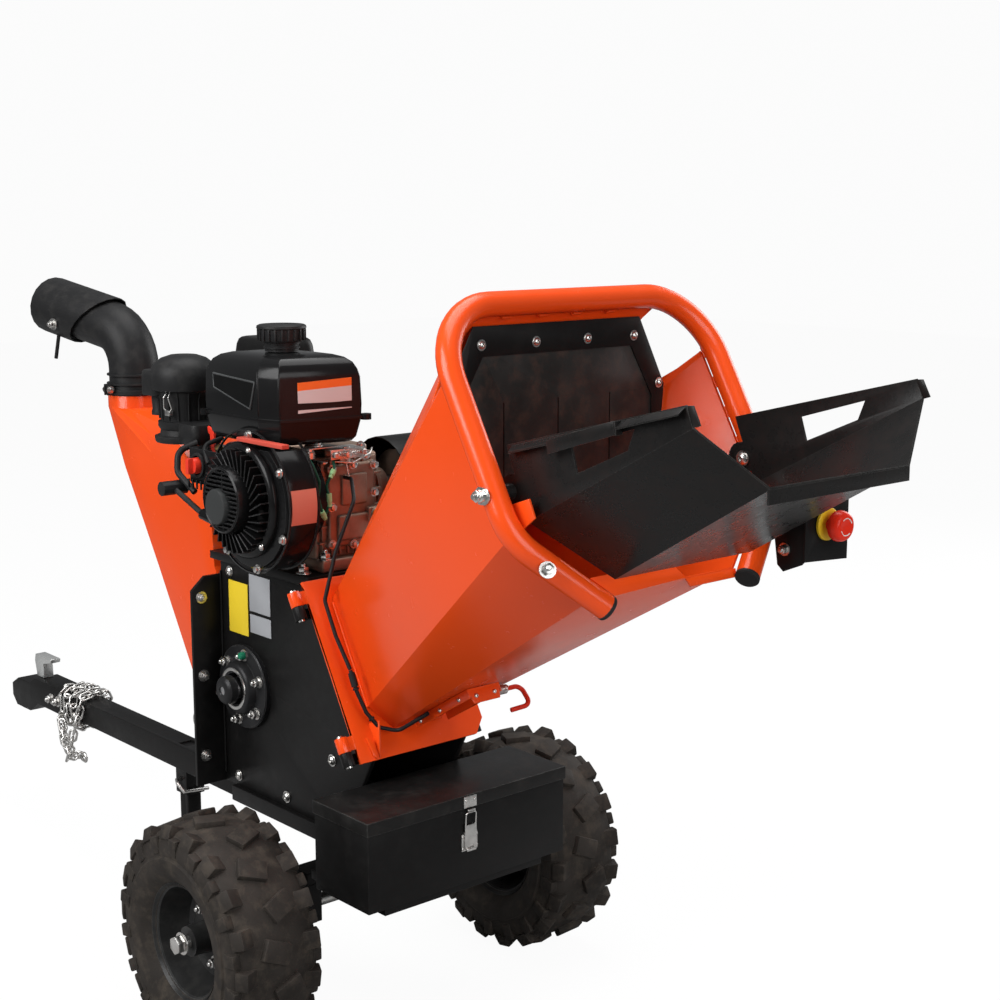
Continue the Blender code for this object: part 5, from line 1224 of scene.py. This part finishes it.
settle(turned("dust_plug", (0.356, -0.1040, 0.5165), (0, -1, 0), [
    (0.0, 0.0), (0.0, 0.0062), (0.0060, 0.0062), (0.0085, 0.0045), (0.0090, 0.0)], sides=24), "chassis",
    green_plug, "lead_sheath")

# ------------------------------------------------------------------ rotor, knives, pulleys and belt
# A ground steel drum with two bolted knives turns in the housing. Its iron pulley is
# driven from the engine's centrifugal clutch by a fabric-faced belt under the guard.
for node in ("rotor", "rotor_knife_1", "rotor_knife_2"):
    dress(node, "rotor_assembly", ground_steel, "steel", 0.0005)
dark_stub = turned("stub_cap", (rotor_x, -0.1205, rotor_z), (0, -1, 0), [
    (0.0, 0.0), (0.0, 0.0230), (0.0120, 0.0226), (0.0150, 0.0200), (0.0170, 0.0160), (0.0172, 0.0080),
    (0.0150, 0.0060), (0.0150, 0.0)], sides=40)
settle(dark_stub, "rotor_assembly", gun_black, "steel")
turned_iron = coating("turned_iron", (0.30, 0.29, 0.28), mottle=0.18, rough=(0.28, 0.46), grain=300.0,
                      depth=0.0001, metal=1.0, edge=(0.6, 0.6, 0.6), edge_width=0.0008, dust=0.12)
dress("rotor_pulley", "rotor_assembly", turned_iron, "pulley_iron", 0.0006)
dress("clutch_pulley", "clutch", turned_iron, "pulley_iron", 0.0006)
belt_cloth = coating("belt_cloth", (0.022, 0.021, 0.020), mottle=0.25, rough=(0.7, 0.9), grain=1600.0,
                     depth=0.0003, edge=(0.07, 0.07, 0.07), dust=0.15)
dress("drive_belt", "chassis", belt_cloth, "belt_rubber", 0.0006)

# ------------------------------------------------------------------ belt guard
# Black sheet cover over both pulleys, pressed with cooling louvres and held by
# four flanged screws.
guard = bench_copy("belt_guard", 0.0012, 3)
louvres = []
louvre = block("louvre", (-0.030, -0.0030, -0.0022), (0.030, 0.0030, 0.0022), 0.0014)
for k in range(7):
    louvres.append(copy_to(louvre, "louvre",
                           Matrix.Translation((0.345 + 0.011 * k, 0.1650, 0.430 + 0.030 * k)) @
                           Matrix.Rotation(0.35, 4, "Y")))
for k in range(5):
    louvres.append(copy_to(louvre, "louvre", Matrix.Translation((0.455, 0.1650, 0.740 + 0.020 * k))))
bpy.data.objects.remove(louvre, do_unlink=True)
settle(join("guard_cover", [guard] + louvres), "chassis", black_coat, "black_paint", "belt_guard")
fixings("guard_screws", nut("n", 0.0100, 0.0055, 0.0090),
        [((x, 0.1652, z), (0, 1, 0))
         for x, z in ((0.290, 0.470), (0.395, 0.430), (0.500, 0.730), (0.430, 0.845))])

# ------------------------------------------------------------------ discharge chute
# Orange sheet, seam-welded, rising from the housing to a round neck. A black band
# with one bolt clamps the swivelling elbow, and a hand bolt holds the deflector.
dress("discharge_chute", "chassis", orange_coat, "orange_paint", 0.0007)
dress("chute_elbow", "elbow", grained_black, "black_paint", 0.0012, 3)
dress("deflector_tube", "deflector", grained_black, "black_paint", 0.0010, 3)
beads = []
for lift, wide in ((0.888, 0.0505), (0.905, 0.0492), (0.921, 0.0485)):
    beads.append(turned("bead", (-0.150, 0.0, lift), (0, 0, 1), [
        (-0.0022, wide - 0.004), (-0.0014, wide), (0.0014, wide), (0.0022, wide - 0.004),
        (-0.0022, wide - 0.004)], sides=72))
clamp_ears = [block("ear", (-0.154, -0.0600, 0.8860), (-0.150, -0.0480, 0.9060), 0.0010),
              block("ear", (-0.144, -0.0600, 0.8860), (-0.140, -0.0480, 0.9060), 0.0010)]
settle(join("neck_band", beads + clamp_ears), "elbow", grained_black, "black_paint")
fixings("band_bolt", nut("n", 0.0090, 0.0055, 0.0070),
        [((-0.1398, -0.0545, 0.8960), (1, 0, 0)), ((-0.1542, -0.0545, 0.8960), (-1, 0, 0))], "elbow")
yaw = Matrix.Translation((-0.150, 0.0, 0.0)) @ Matrix.Rotation(math.radians(9.0), 4, "Z")
swivel_spots = [(yaw @ Vector((-0.165, sign * 0.0522, 1.0055)),
                 (yaw.to_3x3() @ Vector((0.0, sign, 0.0)))) for sign in (-1.0, 1.0)]
fixings("deflector_bolts", nut("n", 0.0120, 0.0070, 0.0110, 0.004), swivel_spots, "deflector")

# ------------------------------------------------------------------ coupler, latch and safety chain
# A pressed steel ball coupler with a pale plated hand lever. The safety chain is
# wound round the tow bar and ends in a spring hook.
dress("coupler_body", "chassis", black_coat, "black_paint", 0.0012, 3)
fixings("coupler_bolts", nut("n", 0.0140, 0.0085, 0.0110, 0.004),
        [((x, sign * 0.0262, 0.2390), (0, sign, 0)) for sign in (-1.0, 1.0) for x in (-0.490, -0.462)])
pale_plate = coating("pale_plate", (0.62, 0.63, 0.62), mottle=0.12, rough=(0.22, 0.36), grain=500.0,
                     depth=0.0001, metal=0.75, edge=(0.8, 0.8, 0.8), edge_width=0.0008)
dress("coupler_latch", "coupler_lever", pale_plate, "zinc", 0.0012, 3)
link_path = [(0.0074 * math.cos(a), 0.0, 0.0074 * math.sin(a) + (0.0058 if math.sin(a) > 0 else -0.0058))
             for a in [2.0 * math.pi * (k + 0.5) / 12.0 for k in range(13)]]
link = bent_rod("link", link_path, 0.0025, 2)
wind = []
for k in range(181):
    turn_by = 0.9 + 2.0 * math.pi * 3.2 * k / 180.0
    reach = 0.0355 - 0.0040 * math.cos(4.0 * turn_by)
    wind.append(Vector((-0.440 + 0.082 * k / 180.0, reach * math.cos(turn_by),
                        0.239 + reach * math.sin(turn_by))))
wind += [Vector(p) for p in ((-0.362, -0.0365, 0.222), (-0.376, -0.0395, 0.192), (-0.389, -0.0400, 0.160),
                             (-0.400, -0.0390, 0.144), (-0.411, -0.0380, 0.158), (-0.423, -0.0380, 0.190),
                             (-0.424, -0.0400, 0.212), (-0.412, -0.0430, 0.206), (-0.397, -0.0440, 0.174),
                             (-0.384, -0.0430, 0.150), (-0.368, -0.0400, 0.151), (-0.352, -0.0360, 0.160))]
pitch = 0.0178
spots, gone, last = [], 0.0, wind[0]
for here in wind[1:]:
    step = (here - last).length
    while gone + step >= pitch:
        last = last.lerp(here, (pitch - gone) / step)
        spots.append((last.copy(), (here - last).normalized()))
        step = (here - last).length
        gone = 0.0
        if step < 1e-6:
            break
    gone += step
    last = here
links = []
for k, (place, way) in enumerate(spots):
    turn = way.to_track_quat("Z", "Y").to_matrix().to_4x4()
    links.append(copy_to(link, "link", Matrix.Translation(place) @ turn @
                         Matrix.Rotation(math.radians(45.0 + 90.0 * (k % 2)), 4, "Z")))
bpy.data.objects.remove(link, do_unlink=True)
hook_line = [(x, -0.0350, z) for x, z in (
    (-0.3500, 0.1600), (-0.3400, 0.1640), (-0.3320, 0.1580), (-0.3340, 0.1480), (-0.3480, 0.1490),
    (-0.3600, 0.1540))]
hook = bent_rod("hook", rounded(hook_line, [0.004] * 4, 5), 0.0030, 4)
settle(join("chain", links + [hook]), "chassis", bright_steel, "zinc", "safety_chain")

# ------------------------------------------------------------------ stand
# A leg of square steel tube, powder coated black, slides in a sleeve on the tow bar.
# A pin of bent zinc-plated rod goes through both and holds it.
dress("stand_leg", "stand", black_coat, "black_paint")
dress("stand_pin", "stand_lock", bright_steel, "zinc", 0.0006, 3)

# ------------------------------------------------------------------ toolbox
# Folded black sheet with a lift-up lid whose rim is painted pale, partly as rubbed wear and partly as a
# painted highlight, and a zinc draw latch riveted to its front.
worn_and_highlit_coat = coating("worn_and_highlit_coat", (0.0105, 0.0102, 0.0100), mottle=0.15, rough=(0.30, 0.44), grain=1000.0,
                    depth=0.00008, edge=(0.20, 0.20, 0.19), edge_width=0.0018, dust=0.04)
dress("toolbox_body", "chassis", black_coat, "black_paint", 0.0007)
dress("toolbox_lid", "lid", worn_and_highlit_coat, "black_paint", 0.0014, 3)
latch_low, latch_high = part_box("toolbox_latch")
mid_y = (latch_low[1] + latch_high[1]) / 2.0
tall = latch_high[2] - latch_low[2]


def on_latch(x, y, z):
    """A point measured from the foot of the latch's back, in the middle of its width."""
    return Vector((latch_low[0] + x, mid_y + y, latch_low[2] + z))


toggle = [
    block("base", on_latch(0.0, -0.0150, 0.0), on_latch(0.0014, 0.0150, 0.026), 0.0005),
    block("lever", on_latch(0.0030, -0.0110, 0.004), on_latch(0.0046, 0.0110, 0.040), 0.0007),
    block("cheek", on_latch(0.0, -0.0115, 0.008), on_latch(0.0046, -0.0100, 0.030), 0.0004),
    block("cheek", on_latch(0.0, 0.0100, 0.008), on_latch(0.0046, 0.0115, 0.030), 0.0004),
    block("curl", on_latch(0.0030, -0.0090, 0.0), on_latch(0.0070, 0.0090, 0.005), 0.0014, 3),
    bent_rod("bail", rounded([on_latch(0.0024, -0.0095, 0.018), on_latch(0.0050, -0.0095, tall - 0.002),
                              on_latch(0.0050, 0.0095, tall - 0.002), on_latch(0.0024, 0.0095, 0.018)],
                             [0.004, 0.004], 4), 0.0012, 3)]
settle(join("draw_latch", toggle), "lid_toggle", bright_steel, "zinc", "toolbox_latch")
lid_hook = [block("keeper", (0.7946, mid_y - 0.0120, 0.3610), (0.7958, mid_y + 0.0120, 0.3780), 0.0005),
            block("keeper_lip", (0.7950, mid_y - 0.0070, 0.3560), (0.7995, mid_y + 0.0070, 0.3590), 0.0010)]
settle(join("latch_keeper", lid_hook), "lid", bright_steel, "zinc")
fixings("latch_rivets_box", dome("d", 0.0022, 0.0014),
        [(on_latch(0.0014, y, z), (1, 0, 0)) for z in (0.004, 0.022) for y in (-0.0130, 0.0130)],
        "lid_toggle")
fixings("keeper_rivets", dome("d", 0.0022, 0.0014),
        [((0.7958, mid_y + y, 0.3720), (1, 0, 0)) for y in (-0.0080, 0.0080)], "lid")

# ------------------------------------------------------------------ stop lead
# Black two-core lead from the engine to the stop switch, with a moulded connector on
# the hinge flange and cable ties. Both halves are fixed along their whole run.
sheath = coating("sheath", (0.012, 0.012, 0.0125), mottle=0.1, rough=(0.35, 0.5), grain=1300.0, depth=0.0001)
run_a = [(0.5206, -0.020, 0.815), (0.538, -0.020, 0.815), (0.579, -0.045, 0.790), (0.586, -0.085, 0.720)]
run_a += [at_flange(-0.108, 0.040, 0.030), at_flange(-0.109, 0.095, 0.030), at_flange(-0.106, 0.150, 0.034)]
lead_a = bent_rod("lead", rounded(run_a, [0.008, 0.022, 0.040, 0.012, 0.030], 7), 0.0030, 4)
lead_a.data.materials.append(sheath)
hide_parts("lead_engine_half")
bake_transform(lead_a)
run_b = [at_flange(-0.106, 0.1512, 0.034), at_flange(-0.106, 0.182, 0.032), at_flange(-0.096, 0.215, 0.024),
         at_flange(-0.080, 0.240, 0.020), under_floor(-0.055, 0.022, 0.010),
         under_floor(-0.0405, 0.085, 0.0055)]
lead_b = bent_rod("lead", rounded(run_b, [0.020, 0.016, 0.012, 0.014], 7), 0.0030, 4)
ties = []
for place, way in ((at_flange(-0.106, 0.160, 0.0335), down), (at_flange(-0.106, 0.178, 0.0322), down),
                   (at_flange(-0.090, 0.2245, 0.0225), (down + Vector((0, 0.5, 0))).normalized())):
    ties.append(turned("tie", place, way, [(0.0, 0.0), (0.0, 0.0046), (0.0030, 0.0046), (0.0030, 0.0)],
                       sides=20))
plug_half = bent_rod("plug_half", [at_flange(-0.106, 0.1550, 0.0338), at_flange(-0.106, 0.1760, 0.0324)],
                     0.0052)
settle(join("lead_lower", [lead_b, plug_half] + ties), "hopper", sheath, "lead_sheath", "lead_hopper_half")
